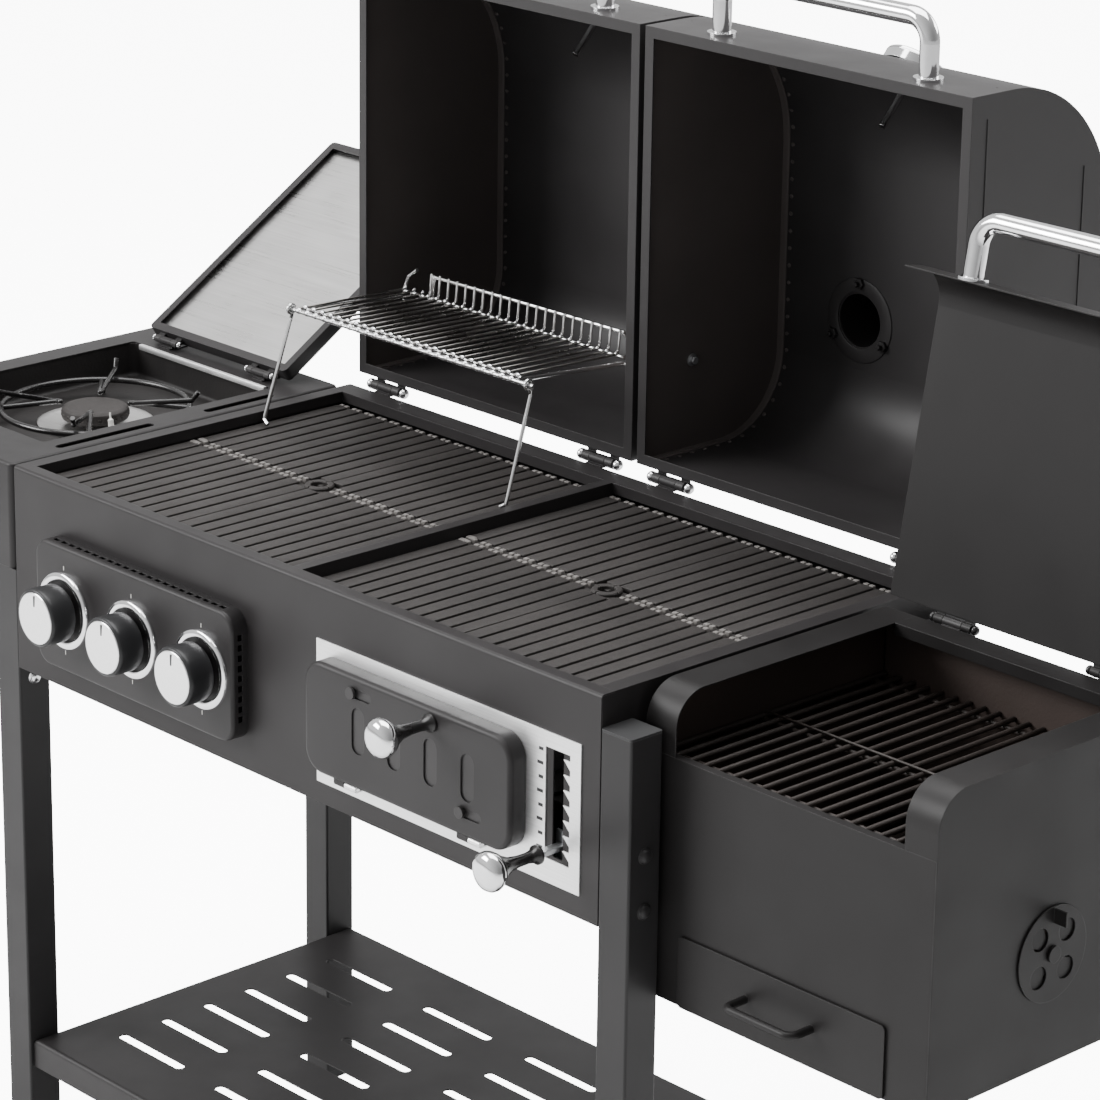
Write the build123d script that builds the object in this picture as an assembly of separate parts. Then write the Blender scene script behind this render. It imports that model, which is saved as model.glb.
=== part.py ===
from build123d import *
import math
import os

# Combination barbecue: gas chamber and charcoal chamber side by side in one body, a side
# burner table on the left and an offset firebox (smoker box) on the right.
# Working frame: X from the body's left end to the right, Y from the front panel to the back,
# Z up from the body's top rim.  The finished parts are moved so that Z = 0 is the floor and
# the object's box is centred on X = 0, Y = 0.
# All lengths are millimetres.  The lids are modelled closed and then swung open.

# ---------------------------------------------------------------- driving dimensions
WORK_H = 860.0          # floor to the body's top rim
BODY_W = 900.0          # body, left end to right end
BODY_D = 470.0          # body, front to back
BODY_H = 228.0          # front panel height
SHEET = 1.5             # sheet steel gauge
RIM_FRONT = 16.5        # top rim widths
RIM_SIDE = 18.0
RIM_REAR = 30.0
DIVIDER = (443.0, 457.0)
TUBE = 40.0             # square leg tube
TUBE_WALL = 1.5
LEG_TOP = 32.0          # right legs stop this far below the rim

HOOD_H = 212.0          # hood height above the rim
HOOD_REAR_R = 90.0      # round at the back of the hood
HOOD_FRONT_R = 150.0    # round at the front of the hood
HOOD_LIP = 12.0         # inward lip round the hood's mouth
HINGE = (480.0, 3.0)    # hood hinge axis (Y, Z)
GAS_HOOD_X = (3.0, 446.0)
COAL_HOOD_X = (454.0, 897.0)
HOOD_OPEN = 90.0

TABLE_X = (-334.0, -5.0)
TABLE_D = 455.0
APRON = 118.0           # depth of the side table's apron
PAN_X = (-298.0, -46.0)
PAN_Y = (72.0, 388.0)
PAN_DEPTH = 42.0
PAN_R = 12.0            # upright corners of the pan
PAN_FOOT_R = 6.0        # round along the pan's bottom
TABLE_SLOT_X = (-28.0, -17.0)
TABLE_SLOT_Y = ((72.0, 203.0), (275.0, 372.0))
SIDE_HINGE = (400.0, 8.0)
SIDE_OPEN = 147.5

BOX_X = (912.0, 1268.0)  # firebox
BOX_Y = (46.0, 367.0)
BOX_TOP = 3.0
BOX_FRONT_TOP = -58.0
BOX_FLOOR = -300.0
BOX_R = 36.0            # quarter round at the front of the firebox's side flanges
BOX_FLANGE = 38.0
BOX_HINGE = (373.0, 6.0)
BOX_OPEN = 100.5

KNOB_X = (112.0, 227.0, 342.0)
KNOB_Z = -128.0
PANEL_X = (62.0, 391.0)  # raised gas control panel
PANEL_Z = (-197.0, -58.0)
PANEL_OUT = 20.0
PLATE_X = (500.0, 876.0)  # bright plate behind the charcoal door
PLATE_Z = (-205.0, -55.0)
MOUTH_X = (530.0, 780.0)   # opening behind the charcoal door
MOUTH_Z = (-172.0, -92.0)
MOUTH_R = 4.0
DOOR_X = (505.0, 803.0)
DOOR_Z = (-184.0, -68.0)
DOOR_OUT = 22.0
DOOR_HINGE = (-14.0, -188.5)
LEVER_X = 844.0
LEVER_Z = -167.0
RACK_PIVOT = (525.0, 92.0)   # warming rack pivots, in the open hood
RACK_FRONT = (350.0, 117.0)  # warming rack front wire
RACK_FOOT = (315.0, -9.0)    # where its legs stand

WHEEL_R = 90.0
PIN_R = 3.0             # hood hinge pins
PIN_CLEAR = 0.06        # running clearance on a radius
WALL = 1.2              # thinner pressed parts

parts = {}


# ---------------------------------------------------------------- helpers
def block(x0, x1, y0, y1, z0, z1):
    """A box from its low and high corners."""
    solid = Box(x1 - x0, y1 - y0, z1 - z0)
    return Pos((x0 + x1) / 2, (y0 + y1) / 2, (z0 + z1) / 2) * solid


def rod(start, end, radius):
    """A round bar between two points."""
    a, b = Vector(*start), Vector(*end)
    plane = Plane(origin=(a + b) / 2, z_dir=(b - a).normalized())
    return plane * Cylinder(radius, (b - a).length)


def tube(start, end, outer, inner):
    return rod(start, end, outer) - rod(start, end, inner)


def rounded_plate(x0, x1, y0, y1, z0, z1, radius):
    """A plate in XZ with rounded corners, from y0 to y1."""
    plate = block(x0, x1, y0, y1, z0, z1)
    return fillet(plate.edges().filter_by(Axis.Y), radius)


def slot_xz(x, z, width, height, y0, y1):
    """A cutter for a round-ended upright or lying slot through a wall in XZ."""
    short = min(width, height)
    return rounded_plate(x - width / 2, x + width / 2, y0, y1, z - height / 2, z + height / 2,
                         short / 2 - 0.01)


def bent_bar(points, bend, radius):
    """A round bar along straight runs joined by arcs of the bend radius."""
    path = FilletPolyline(*points, radius=bend)
    section = Plane(origin=path @ 0, z_dir=path % 0) * Circle(radius)
    return sweep(section, path=path)


def swing(shape, axis_yz, degrees):
    """Turn a shape about an X axis through (y, z); positive brings the top forward."""
    return shape.rotate(Axis((0, axis_yz[0], axis_yz[1]), (1, 0, 0)), degrees)


def joined(shapes):
    total = shapes[0]
    for shape in shapes[1:]:
        total += shape
    return total


def cut_all(shape, cutters):
    for cutter in cutters:
        shape -= cutter
    return shape


# ---------------------------------------------------------------- legs, shelf, wheels
FLOOR = -WORK_H
AXLE_Z = FLOOR + WHEEL_R
FOOT_H = 10.0
LEG_ROWS = (0.0, BODY_D - TUBE)


def leg(x0, y0, z0, z1, axle_hole):
    outer = block(x0, x0 + TUBE, y0, y0 + TUBE, z0, z1)
    inner = block(x0 + TUBE_WALL, x0 + TUBE - TUBE_WALL, y0 + TUBE_WALL, y0 + TUBE - TUBE_WALL,
                  z0 - 1, z1 + 1)
    outer = fillet(outer.edges().filter_by(Axis.Z), 2.5)
    shape = outer - inner
    if axle_hole:
        shape -= rod((x0 + TUBE / 2, y0 - 1, AXLE_Z), (x0 + TUBE / 2, y0 + TUBE + 1, AXLE_Z), 6.6)
    return shape


AXLE_X = BODY_W + TUBE / 2
LEG_CAP = 2.5
RIGHT_LEG_LOW = AXLE_Z - 30
for side, leg_y in zip(("front", "rear"), LEG_ROWS):
    parts[f"leg_{side}_left"] = leg(-TUBE, leg_y, FLOOR + FOOT_H, -APRON, False)
    parts[f"leg_{side}_right"] = leg(BODY_W, leg_y, RIGHT_LEG_LOW, -LEG_TOP - LEG_CAP, True)


def leg_plug(x0, y0, z0, z1, plug_z):
    """A square plastic end with a plug that fills the tube's mouth."""
    head = fillet(block(x0, x0 + TUBE, y0, y0 + TUBE, z0, z1).edges().filter_by(Axis.Z), 2.5)
    gap = TUBE_WALL + 0.1
    low, high = sorted((z0 if plug_z < z0 else z1, plug_z))
    plug = block(x0 + gap, x0 + TUBE - gap, y0 + gap, y0 + TUBE - gap, low, high)
    return head + plug


leg_ends = []
for leg_y in LEG_ROWS:
    leg_ends.append(leg_plug(BODY_W, leg_y, -LEG_TOP - LEG_CAP, -LEG_TOP, -LEG_TOP - LEG_CAP - 15))
    leg_ends.append(leg_plug(-TUBE, leg_y, FLOOR, FLOOR + FOOT_H, FLOOR + FOOT_H + 20))
    leg_ends.append(leg_plug(BODY_W, leg_y, RIGHT_LEG_LOW - 3, RIGHT_LEG_LOW, RIGHT_LEG_LOW + 12))
parts["leg_caps"] = Compound(children=leg_ends)

SHELF_Z = FLOOR + 190
SHELF_LIP = 32.0


def bottom_shelf():
    """A pressed shelf with turned-down edges and rows of long drain slots."""
    shelf = block(0.3, BODY_W - 0.3, 5, BODY_D - 5, SHELF_Z - SHELF_LIP, SHELF_Z)
    shelf = fillet(shelf.edges().group_by(Axis.Z)[-1], 5)
    under = block(0.3 + SHEET, BODY_W - 0.3 - SHEET, 5 + SHEET, BODY_D - 5 - SHEET,
                  SHELF_Z - SHELF_LIP - 1, SHELF_Z - SHEET)
    shelf -= fillet(under.edges().group_by(Axis.Z)[-1], 5 - SHEET)
    for column in range(5):
        for row in range(6):
            x = 110 + column * 170
            y = 85 + row * 60
            cutter = block(x - 55, x + 55, y - 6, y + 6, SHELF_Z - 5, SHELF_Z + 5)
            shelf -= fillet(cutter.edges().filter_by(Axis.Z), 5.9)
    return shelf


parts["bottom_shelf"] = bottom_shelf()

WHEEL_W = 32.0
WHEEL_GAP = 5.0
AXLE_R = 6.0
AXLE_END = 12.0
wheel_y = {"front": -WHEEL_GAP - WHEEL_W, "rear": BODY_D + WHEEL_GAP}


def axle():
    y0 = wheel_y["front"] - AXLE_END
    y1 = wheel_y["rear"] + WHEEL_W + AXLE_END
    bar = rod((AXLE_X, y0, AXLE_Z), (AXLE_X, y1, AXLE_Z), AXLE_R)
    for y in (wheel_y["front"] - 4, wheel_y["rear"] + WHEEL_W + 1):
        bar += rod((AXLE_X, y, AXLE_Z), (AXLE_X, y + 3, AXLE_Z), 13)
    return bar


parts["axle"] = axle()


def wheel(y0):
    """Moulded wheel: treaded rim, web with six openings and a hub."""
    y1 = y0 + WHEEL_W
    middle = (y0 + y1) / 2
    rim = tube((AXLE_X, y0, AXLE_Z), (AXLE_X, y1, AXLE_Z), WHEEL_R, WHEEL_R - 16)
    rim = fillet(rim.edges().filter_by(GeomType.CIRCLE).sort_by(lambda e: e.radius)[-2:], 5)
    web = tube((AXLE_X, middle - 4, AXLE_Z), (AXLE_X, middle + 4, AXLE_Z), WHEEL_R - 15, 12)
    hub = rod((AXLE_X, y0, AXLE_Z), (AXLE_X, y1, AXLE_Z), 17)
    shape = rim + web + hub
    for spoke in range(6):
        angle = math.radians(60 * spoke)
        x = AXLE_X + 46 * math.cos(angle)
        z = AXLE_Z + 46 * math.sin(angle)
        shape -= rod((x, middle - 6, z), (x, middle + 6, z), 16)
    return shape - rod((AXLE_X, y0 - 1, AXLE_Z), (AXLE_X, y1 + 1, AXLE_Z), AXLE_R + PIN_CLEAR)


for side, y in wheel_y.items():
    parts[f"wheel_{side}"] = wheel(y)


# ---------------------------------------------------------------- body panels
PASSAGE_Y = (110.0, 290.0)
PASSAGE_Z = (-170.0, -90.0)
FLOOR_Z = -215.0
VALVE_HOLE_R = 11.0
BEND = 4.0


def bent_edge(shape, y_sign, radius):
    """Round the top X edge of a panel: the front one for y_sign -1, the rear one for +1."""
    edges = shape.edges().filter_by(Axis.X)
    return fillet(edges.sort_by(lambda e: y_sign * e.center().Y + e.center().Z)[-1], radius)


def front_panel():
    """Front of the body with its rim turned back at the top and a hem at the bottom."""
    panel = bent_edge(block(0, BODY_W, 0, RIM_FRONT, -BODY_H, 0), -1, BEND)
    inner = block(-1, BODY_W + 1, SHEET, RIM_FRONT + 1, -BODY_H - 1, -SHEET)
    panel -= bent_edge(inner, -1, BEND - SHEET)
    panel += block(0, BODY_W, RIM_FRONT - SHEET, RIM_FRONT, -12, -SHEET)
    panel += block(0, BODY_W, SHEET, 14, -BODY_H, -BODY_H + SHEET)
    panel -= block(-1, SHEET, SHEET, 18, -BODY_H - 1, -SHEET)
    panel -= block(BODY_W - SHEET, BODY_W + 1, SHEET, 18, -BODY_H - 1, -SHEET)
    for x in DIVIDER:
        panel -= block(x - 2, x + 2, RIM_FRONT - SHEET - 0.1, RIM_FRONT + 1, -13, -SHEET)
    panel -= rounded_plate(*MOUTH_X, -1, SHEET + 1, *MOUTH_Z, MOUTH_R)
    panel -= rounded_plate(838, 852, -1, SHEET + 1, -178, -68, 3)
    for x in KNOB_X:
        panel -= rod((x, -1, KNOB_Z), (x, SHEET + 1, KNOB_Z), VALVE_HOLE_R)
    return panel


def rear_panel():
    """Back of the body with its wide rim turned forward and rows of air slots."""
    y0 = BODY_D - RIM_REAR
    panel = bent_edge(block(0, BODY_W, y0, BODY_D, -BODY_H, 0), 1, BEND)
    inner = block(-1, BODY_W + 1, y0 - 1, BODY_D - SHEET, -BODY_H - 1, -SHEET)
    panel -= bent_edge(inner, 1, BEND - SHEET)
    panel += block(SHEET, DIVIDER[0], y0, y0 + SHEET, -12, -SHEET)
    panel += block(DIVIDER[1], BODY_W - SHEET, y0, y0 + SHEET, -12, -SHEET)
    for row in range(8):
        for x in (222, 678):
            panel -= slot_xz(x - 84 + 24 * row, -165, 9, 40, BODY_D - 3, BODY_D + 1)
    return panel


def end_wall(x_out, inward, holes):
    """Body end: a plain wall with its rim turned inward. inward is +1 at the left end."""
    x_in = x_out + inward * SHEET
    x_rim = x_out + inward * RIM_SIDE
    x_lip = x_rim - inward * SHEET
    y_end = BODY_D - RIM_REAR
    wall = block(*sorted((x_out, x_in)), SHEET, BODY_D - SHEET, -BODY_H, -SHEET)
    wall += block(*sorted((x_out, x_rim)), RIM_FRONT, y_end, -SHEET, 0)
    wall += block(*sorted((x_lip, x_rim)), RIM_FRONT, y_end, -12, -SHEET)
    return cut_all(wall, holes)


MANIFOLD = (16.0, KNOB_Z - 26)   # gas pipe (Y, Z)
INLET_Y = 72.0                   # the gas inlet leaves behind the front leg


def passage_prism(x0, length, margin):
    """Rounded prism along X through the smoke passage, grown by margin on every side."""
    plane = Plane(origin=(x0, sum(PASSAGE_Y) / 2, sum(PASSAGE_Z) / 2), x_dir=(0, 1, 0), z_dir=(1, 0, 0))
    width = PASSAGE_Y[1] - PASSAGE_Y[0] + 2 * margin
    height = PASSAGE_Z[1] - PASSAGE_Z[0] + 2 * margin
    return extrude(plane * RectangleRounded(width, height, 12 + margin), amount=length)


passage = passage_prism(BODY_W - 5, 25, 0)
inlet_hole = rod((-2, INLET_Y, MANIFOLD[1]), (4, INLET_Y, MANIFOLD[1]), 10)

parts["front_panel"] = front_panel()
parts["rear_panel"] = rear_panel()
parts["left_wall"] = end_wall(0.0, 1, [inlet_hole])
parts["right_wall"] = end_wall(BODY_W, -1, [passage])


def divider():
    """Channel between the chambers: a narrow top strip over two thin walls."""
    x0, x1 = DIVIDER
    y0, y1 = RIM_FRONT, BODY_D - RIM_REAR
    body = block(x0, x1, y0, y1, FLOOR_Z + 2, 0)
    body -= block(x0 + SHEET, x1 - SHEET, y0 - 1, y1 + 1, FLOOR_Z, -SHEET)
    for x in (x0, x1 - SHEET):
        body += block(x, x + SHEET, SHEET, BODY_D - SHEET, FLOOR_Z + 2, -15)
    return body


parts["divider"] = divider()

GREASE_X = DIVIDER[0] / 2
GREASE_Y = BODY_D / 2


def gas_floor():
    """Shallow V-shaped floor that runs fat to a round outlet."""
    x0, x1 = SHEET + 0.3, DIVIDER[0] - 0.3
    high, low = FLOOR_Z + 25, FLOOR_Z
    outline = [(x0, high), (GREASE_X, low), (x1, high), (x1, high - SHEET), (GREASE_X, low - SHEET),
               (x0, high - SHEET)]
    face = make_face(Polyline(*[(x, 0, z) for x, z in outline], close=True))
    floor = Pos(0, 14.3, 0) * extrude(face, amount=BODY_D - 16 - SHEET, dir=(0, 1, 0))
    floor -= rod((GREASE_X, GREASE_Y, low - 10), (GREASE_X, GREASE_Y, low + 10), 16)
    return floor + tube((GREASE_X, GREASE_Y, low - 22), (GREASE_X, GREASE_Y, low), 17.5, 16)


def charcoal_floor():
    x0, x1 = DIVIDER[1] + 0.3, BODY_W - SHEET - 0.3
    floor = block(x0, x1, 14.3, BODY_D - SHEET - 0.3, FLOOR_Z, FLOOR_Z + SHEET)
    for column in range(6):
        x = x0 + 70 + 60 * column
        cutter = block(x - 4, x + 4, 90, 380, FLOOR_Z - 1, FLOOR_Z + 5)
        floor -= fillet(cutter.edges().filter_by(Axis.Z), 3.9)
    return floor


parts["chamber_floors"] = Compound(children=[gas_floor(), charcoal_floor()])


# ---------------------------------------------------------------- gas side
def control_panel():
    """Raised box with a plain face and ventilation slots along its top and sides."""
    x0, x1 = PANEL_X
    z0, z1 = PANEL_Z
    box = rounded_plate(x0, x1, -PANEL_OUT, 0, z0, z1, 20)
    box = fillet(box.faces().sort_by(Axis.Y)[0].edges(), 4)
    inner = rounded_plate(x0 + WALL, x1 - WALL, -PANEL_OUT + WALL, 1, z0 + WALL, z1 - WALL, 20 - WALL)
    box -= fillet(inner.faces().sort_by(Axis.Y)[0].edges(), 4 - WALL)
    for x in KNOB_X:
        box -= rod((x, -PANEL_OUT - 1, KNOB_Z), (x, -PANEL_OUT + 3, KNOB_Z), 7)
    slots = 22
    for index in range(slots):
        x = x0 + 26 + (x1 - x0 - 52) * index / (slots - 1)
        box -= block(x - 4.2, x + 4.2, -12.5, -7, z1 - 3, z1 + 2)
    for index in range(9):
        z = z0 + 26 + (z1 - z0 - 52) * index / 8
        box -= block(x1 - 3, x1 + 2, -12.5, -7, z - 3.4, z + 3.4)
        box -= block(x0 - 2, x0 + 3, -12.5, -7, z - 3.4, z + 3.4)
    return box


parts["control_panel"] = control_panel()

BEZEL_R = (42.0, 33.5)
KNOB_R = 31.5
KNOB_FACE = -58.0


def bezel(x, z, y_face):
    ring = tube((x, y_face - 5, z), (x, y_face, z), *BEZEL_R)
    return fillet(ring.edges().filter_by(GeomType.CIRCLE).group_by(Axis.Y)[0], 2)


def knob(x, z, y_face, stem_end):
    """Round control knob with its stem; a shallow notch in its rim marks the setting."""
    body = rod((x, y_face - 7, z), (x, KNOB_FACE, z), KNOB_R)
    body = fillet(body.edges().filter_by(GeomType.CIRCLE).group_by(Axis.Y)[0], 3)
    body -= block(x - 1.5, x + 1.5, KNOB_FACE - 1, KNOB_FACE + 1, z + 14, z + 24)
    stem = rod((x, y_face - 8, z), (x, stem_end, z), 4)
    return body + stem


SIDE_KNOB = (-172.0, -62.0)
STEM_END = 3.0
for number, x in enumerate(KNOB_X, start=1):
    parts[f"knob_{number}"] = knob(x, KNOB_Z, -PANEL_OUT, STEM_END)
SIDE_SHIFT = PANEL_OUT
parts["side_knob"] = Pos(0, SIDE_SHIFT, 0) * knob(SIDE_KNOB[0], SIDE_KNOB[1], -PANEL_OUT, STEM_END)
bezels = [bezel(x, KNOB_Z, -PANEL_OUT) for x in KNOB_X]
bezels.append(bezel(SIDE_KNOB[0], SIDE_KNOB[1], 0))
parts["knob_bezels"] = Compound(children=bezels)

BURNER_Z = KNOB_Z
BURNER_R = 13.0


def valve(x, z, shift):
    """Valve body round the knob's stem, with its outlet towards the burner."""
    body = block(x - 10, x + 10, 2 + shift, 32 + shift, z - 34, z + 9)
    body = fillet(body.edges().filter_by(Axis.Z), 3)
    return body - rod((x, shift, z), (x, 8 + shift, z), 4 + 0.3)


INLET_X = (-34.0, -1.0)  # hose stub outside the left wall
INLET_R = 9.0
PIPE_R = 8.0


def gas_manifold():
    """Gas pipe behind the front panel, turned back and out through the left wall."""
    y, z = MANIFOLD
    corner_x = 22.0
    pipe = rod((corner_x, y, z), (404, y, z), PIPE_R)
    pipe += rod((corner_x, y, z), (corner_x, INLET_Y, z), PIPE_R)
    pipe += rod((INLET_X[1], INLET_Y, z), (corner_x, INLET_Y, z), PIPE_R)
    pipe += rod((INLET_X[0], INLET_Y, z), (INLET_X[1], INLET_Y, z), INLET_R)
    pipe += Pos(corner_x, y, z) * Sphere(PIPE_R)
    return pipe + Pos(corner_x, INLET_Y, z) * Sphere(PIPE_R)


def burner(x):
    """Tube burner with a row of ports on each side and a crimped end."""
    body = tube((x, 36, BURNER_Z), (x, 452, BURNER_Z), BURNER_R, BURNER_R - 1.2)
    body += rod((x, 450, BURNER_Z), (x, 452, BURNER_Z), BURNER_R)
    for index in range(18):
        y = 90 + 20 * index
        body -= rod((x - 20, y, BURNER_Z + 4), (x + 20, y, BURNER_Z + 4), 1.6)
    floor_z = FLOOR_Z + 25 * abs(x - GREASE_X) / GREASE_X
    for y in (150, 420):
        body += block(x - 4, x + 4, y - 2, y + 2, floor_z + 1, BURNER_Z - BURNER_R + 1)
    return body


def flame_tamer(x):
    """Inverted V plate above one burner."""
    half, low, high = 48.0, -82.0, -52.0
    outline = [(-half, low), (0, high), (half, low), (half, low - 1.6), (0, high - 1.6), (-half, low - 1.6)]
    face = make_face(Polyline(*[(x + u, 0, z) for u, z in outline], close=True))
    plate = Pos(0, 22, 0) * extrude(face, amount=BODY_D - 30, dir=(0, 1, 0))
    for index in range(7):
        y = 70 + 52 * index
        plate -= block(x - 32, x - 16, y - 4, y + 4, low, high)
        plate -= block(x + 16, x + 32, y - 4, y + 4, low, high)
    return plate


valves = [valve(x, KNOB_Z, 0) for x in KNOB_X]
side_valve = valve(SIDE_KNOB[0], SIDE_KNOB[1], SIDE_SHIFT)
manifold = gas_manifold()
for body in valves:
    manifold += body
manifold -= rod((INLET_X[0] - 1, INLET_Y, MANIFOLD[1]), (12, INLET_Y, MANIFOLD[1]), 5)
parts["gas_manifold"] = Compound(children=[manifold, side_valve])
parts["burner_tubes"] = Compound(children=[burner(x) for x in KNOB_X])
parts["flame_tamers"] = Compound(children=[flame_tamer(x) for x in KNOB_X])


# ---------------------------------------------------------------- cooking grates
GRATE_TOP = -13.0
GRATE_T = 9.0
GRATE_GAP = 2.0
RIBS = 10
RIB_W = 15.5


def cooking_grate(x0, x1, y0, y1, hole_corner):
    """Cast grate: ribs from front to back, two end bars, and one rounded inner corner."""
    z0 = GRATE_TOP - GRATE_T
    pitch = (x1 - x0 - RIB_W) / (RIBS - 1)
    pieces = []
    for index in range(RIBS):
        x = x0 + index * pitch
        pieces.append(block(x, x + RIB_W, y0, y1, z0, GRATE_TOP))
    for y in (y0, y1 - 9):
        pieces.append(block(x0, x1, y, y + 9, z0, GRATE_TOP))
    pieces.append(block(x0, x1, (y0 + y1) / 2 - 3, (y0 + y1) / 2 + 3, z0, GRATE_TOP - 4))
    frame = joined(pieces)
    outline = fillet(block(x0, x1, y0, y1, z0 - 1, GRATE_TOP + 1).edges().filter_by(Axis.Z), 6)
    frame = frame & outline
    cx, cy = hole_corner
    return frame - rod((cx, cy, z0 - 1), (cx, cy, GRATE_TOP + 1), 9)


def chamber_grates(x0, x1):
    """Four grates that fill one chamber, with a lifting hole where they meet."""
    y0, y1 = RIM_FRONT + 1.5, BODY_D - RIM_REAR - 1.5
    xm, ym = (x0 + x1) / 2, (y0 + y1) / 2
    grates = []
    for xa, xb in ((x0, xm - GRATE_GAP / 2), (xm + GRATE_GAP / 2, x1)):
        for ya, yb in ((y0, ym - GRATE_GAP / 2), (ym + GRATE_GAP / 2, y1)):
            grates.append(cooking_grate(xa, xb, ya, yb, (xm, ym)))
    return Compound(children=grates)


GAS_OPEN_X = (RIM_SIDE, DIVIDER[0])
COAL_OPEN_X = (DIVIDER[1], BODY_W - RIM_SIDE)
parts["gas_grates"] = chamber_grates(GAS_OPEN_X[0] + 1.5, GAS_OPEN_X[1] - 1.5)
parts["charcoal_grates"] = chamber_grates(COAL_OPEN_X[0] + 1.5, COAL_OPEN_X[1] - 1.5)


def ledge_pair(x_range, z1):
    """Angle ledges on the front and rear walls with their top faces at z1."""
    x0, x1 = x_range[0] + 4, x_range[1] - 4
    front = block(x0, x1, SHEET, RIM_FRONT + 12, z1 - SHEET, z1)
    front += block(x0, x1, SHEET, 2 * SHEET, z1 - 14, z1)
    rear = block(x0, x1, BODY_D - RIM_REAR - 12, BODY_D - SHEET, z1 - SHEET, z1)
    rear += block(x0, x1, BODY_D - 2 * SHEET, BODY_D - SHEET, z1 - 14, z1)
    return [front, rear]


def tray_rails():
    """Two channels under the gas floor that carry the drip tray."""
    rails = []
    for side in (-1, 1):
        inner = GREASE_X + side * 92.5
        outer = GREASE_X + side * 101
        hook = block(*sorted((inner, outer)), 60, BODY_D - 8, TRAY_RAIL_Z - 3, TRAY_RAIL_Z - 1.6)
        hang = block(*sorted((outer - side * SHEET, outer)), 60, BODY_D - 8, TRAY_RAIL_Z - 3,
                     FLOOR_Z + 8)
        rails.append(hook + hang)
    return rails


GRATE_LEDGE = GRATE_TOP - GRATE_T
TAMER_LEDGE = -83.7
TRAY_RAIL_Z = FLOOR_Z - 26
rails = ledge_pair(GAS_OPEN_X, GRATE_LEDGE) + ledge_pair(COAL_OPEN_X, GRATE_LEDGE)
rails += ledge_pair(GAS_OPEN_X, TAMER_LEDGE) + tray_rails()
parts["support_rails"] = Compound(children=rails)


# ---------------------------------------------------------------- charcoal front
NOTCHES = 7


def steel_plate():
    """Bright plate with the door opening, the notched lift slot and the lower hinge tabs."""
    x0, x1 = PLATE_X
    z0, z1 = PLATE_Z
    plate = block(x0, x1, -SHEET, 0, z0, z1)
    plate -= rounded_plate(*MOUTH_X, -3, 2, *MOUTH_Z, MOUTH_R)
    slot = block(829, 862, -3, 2, -181, -70)
    for index in range(NOTCHES):
        z = -176 + index * (106 / NOTCHES)
        tooth = [(862, z), (853, z + 9), (862, z + 9)]
        face = make_face(Polyline(*[(x, -3, h) for x, h in tooth], close=True))
        slot -= extrude(face, amount=5, dir=(0, 1, 0))
    plate -= slot
    for x in (560.0, 740.0):
        knuckle = tube((x, *DOOR_HINGE), (x + 16, *DOOR_HINGE), 3.5, 1.55)
        web = block(x, x + 16, DOOR_HINGE[0], -SHEET / 2, DOOR_HINGE[1] - 3.5, DOOR_HINGE[1] - 2.0)
        plate += knuckle + (web - rod((x - 1, *DOOR_HINGE), (x + 17, *DOOR_HINGE), 2))
    return plate


VENT_X = [586 + 52.5 * index for index in range(4)]
VENT_Z = -123.0
VENT_W, VENT_H = 18.0, 48.0
GUIDES = ((588.0, -85.0), (746.0, -159.0))
GUIDE_W, GUIDE_H = 34.0, 10.0
VENT_TRAVEL = 20.0


def charcoal_door():
    """Raised box door with four upright air slots and two guide slots."""
    x0, x1 = DOOR_X
    z0, z1 = DOOR_Z
    door = rounded_plate(x0, x1, -DOOR_OUT, -2, z0, z1, 24)
    door = fillet(door.faces().sort_by(Axis.Y)[0].edges(), 5)
    inner = rounded_plate(x0 + WALL, x1 - WALL, -DOOR_OUT + WALL, 0, z0 + WALL, z1 - WALL, 24 - WALL)
    door -= fillet(inner.faces().sort_by(Axis.Y)[0].edges(), 5 - WALL)
    for x in VENT_X:
        door -= slot_xz(x, VENT_Z, VENT_W, VENT_H, -DOOR_OUT - 1, -DOOR_OUT + 3)
    for x, z in GUIDES:
        door -= slot_xz(x, z, GUIDE_W, GUIDE_H, -DOOR_OUT - 1, -DOOR_OUT + 3)
    for x in (544.5, 724.5):
        knuckle = tube((x, *DOOR_HINGE), (x + 15, *DOOR_HINGE), 3.5, 1.55)
        web = block(x, x + 15, DOOR_HINGE[0] - 3.4, DOOR_HINGE[0] - 1.8, DOOR_HINGE[1], z0 + 0.8)
        door += knuckle + web
    return door


def door_slider():
    """Air shutter behind the door's face, with two tabs that run in the guide slots."""
    y0 = -DOOR_OUT + WALL + 0.4
    plate = block(548, 766, y0, y0 + WALL, -168, -77)
    for x in VENT_X:
        plate -= slot_xz(x - VENT_TRAVEL, VENT_Z, VENT_W, VENT_H, y0 - 1, y0 + 3)
    for x, z in GUIDES:
        tab_x = x - VENT_TRAVEL / 2
        plate += rod((tab_x, -DOOR_OUT - 4, z), (tab_x, y0 + 1, z), 3.5)
        plate += rod((tab_x, -DOOR_OUT - 4, z), (tab_x, -DOOR_OUT - 1, z), 6)
    return plate


def pull_knob(x, z, y_root, y_face, radius, foot_r):
    """Turned knob on a tapering stem that points to the front."""
    length = y_root - y_face
    outline = [(0, 0), (foot_r, 0), (foot_r, 3), (foot_r * 0.62, 6), (foot_r * 0.55, length * 0.45),
               (radius * 0.62, length * 0.72), (radius * 0.95, length * 0.8), (radius, length * 0.88),
               (radius, length * 0.96), (radius * 0.82, length), (0, length)]
    face = make_face(Polyline(*[(r, 0, h) for r, h in outline], close=True))
    solid = revolve(face, Axis.Z)
    return Plane(origin=(x, y_root, z), z_dir=(0, -1, 0)) * solid


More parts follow.
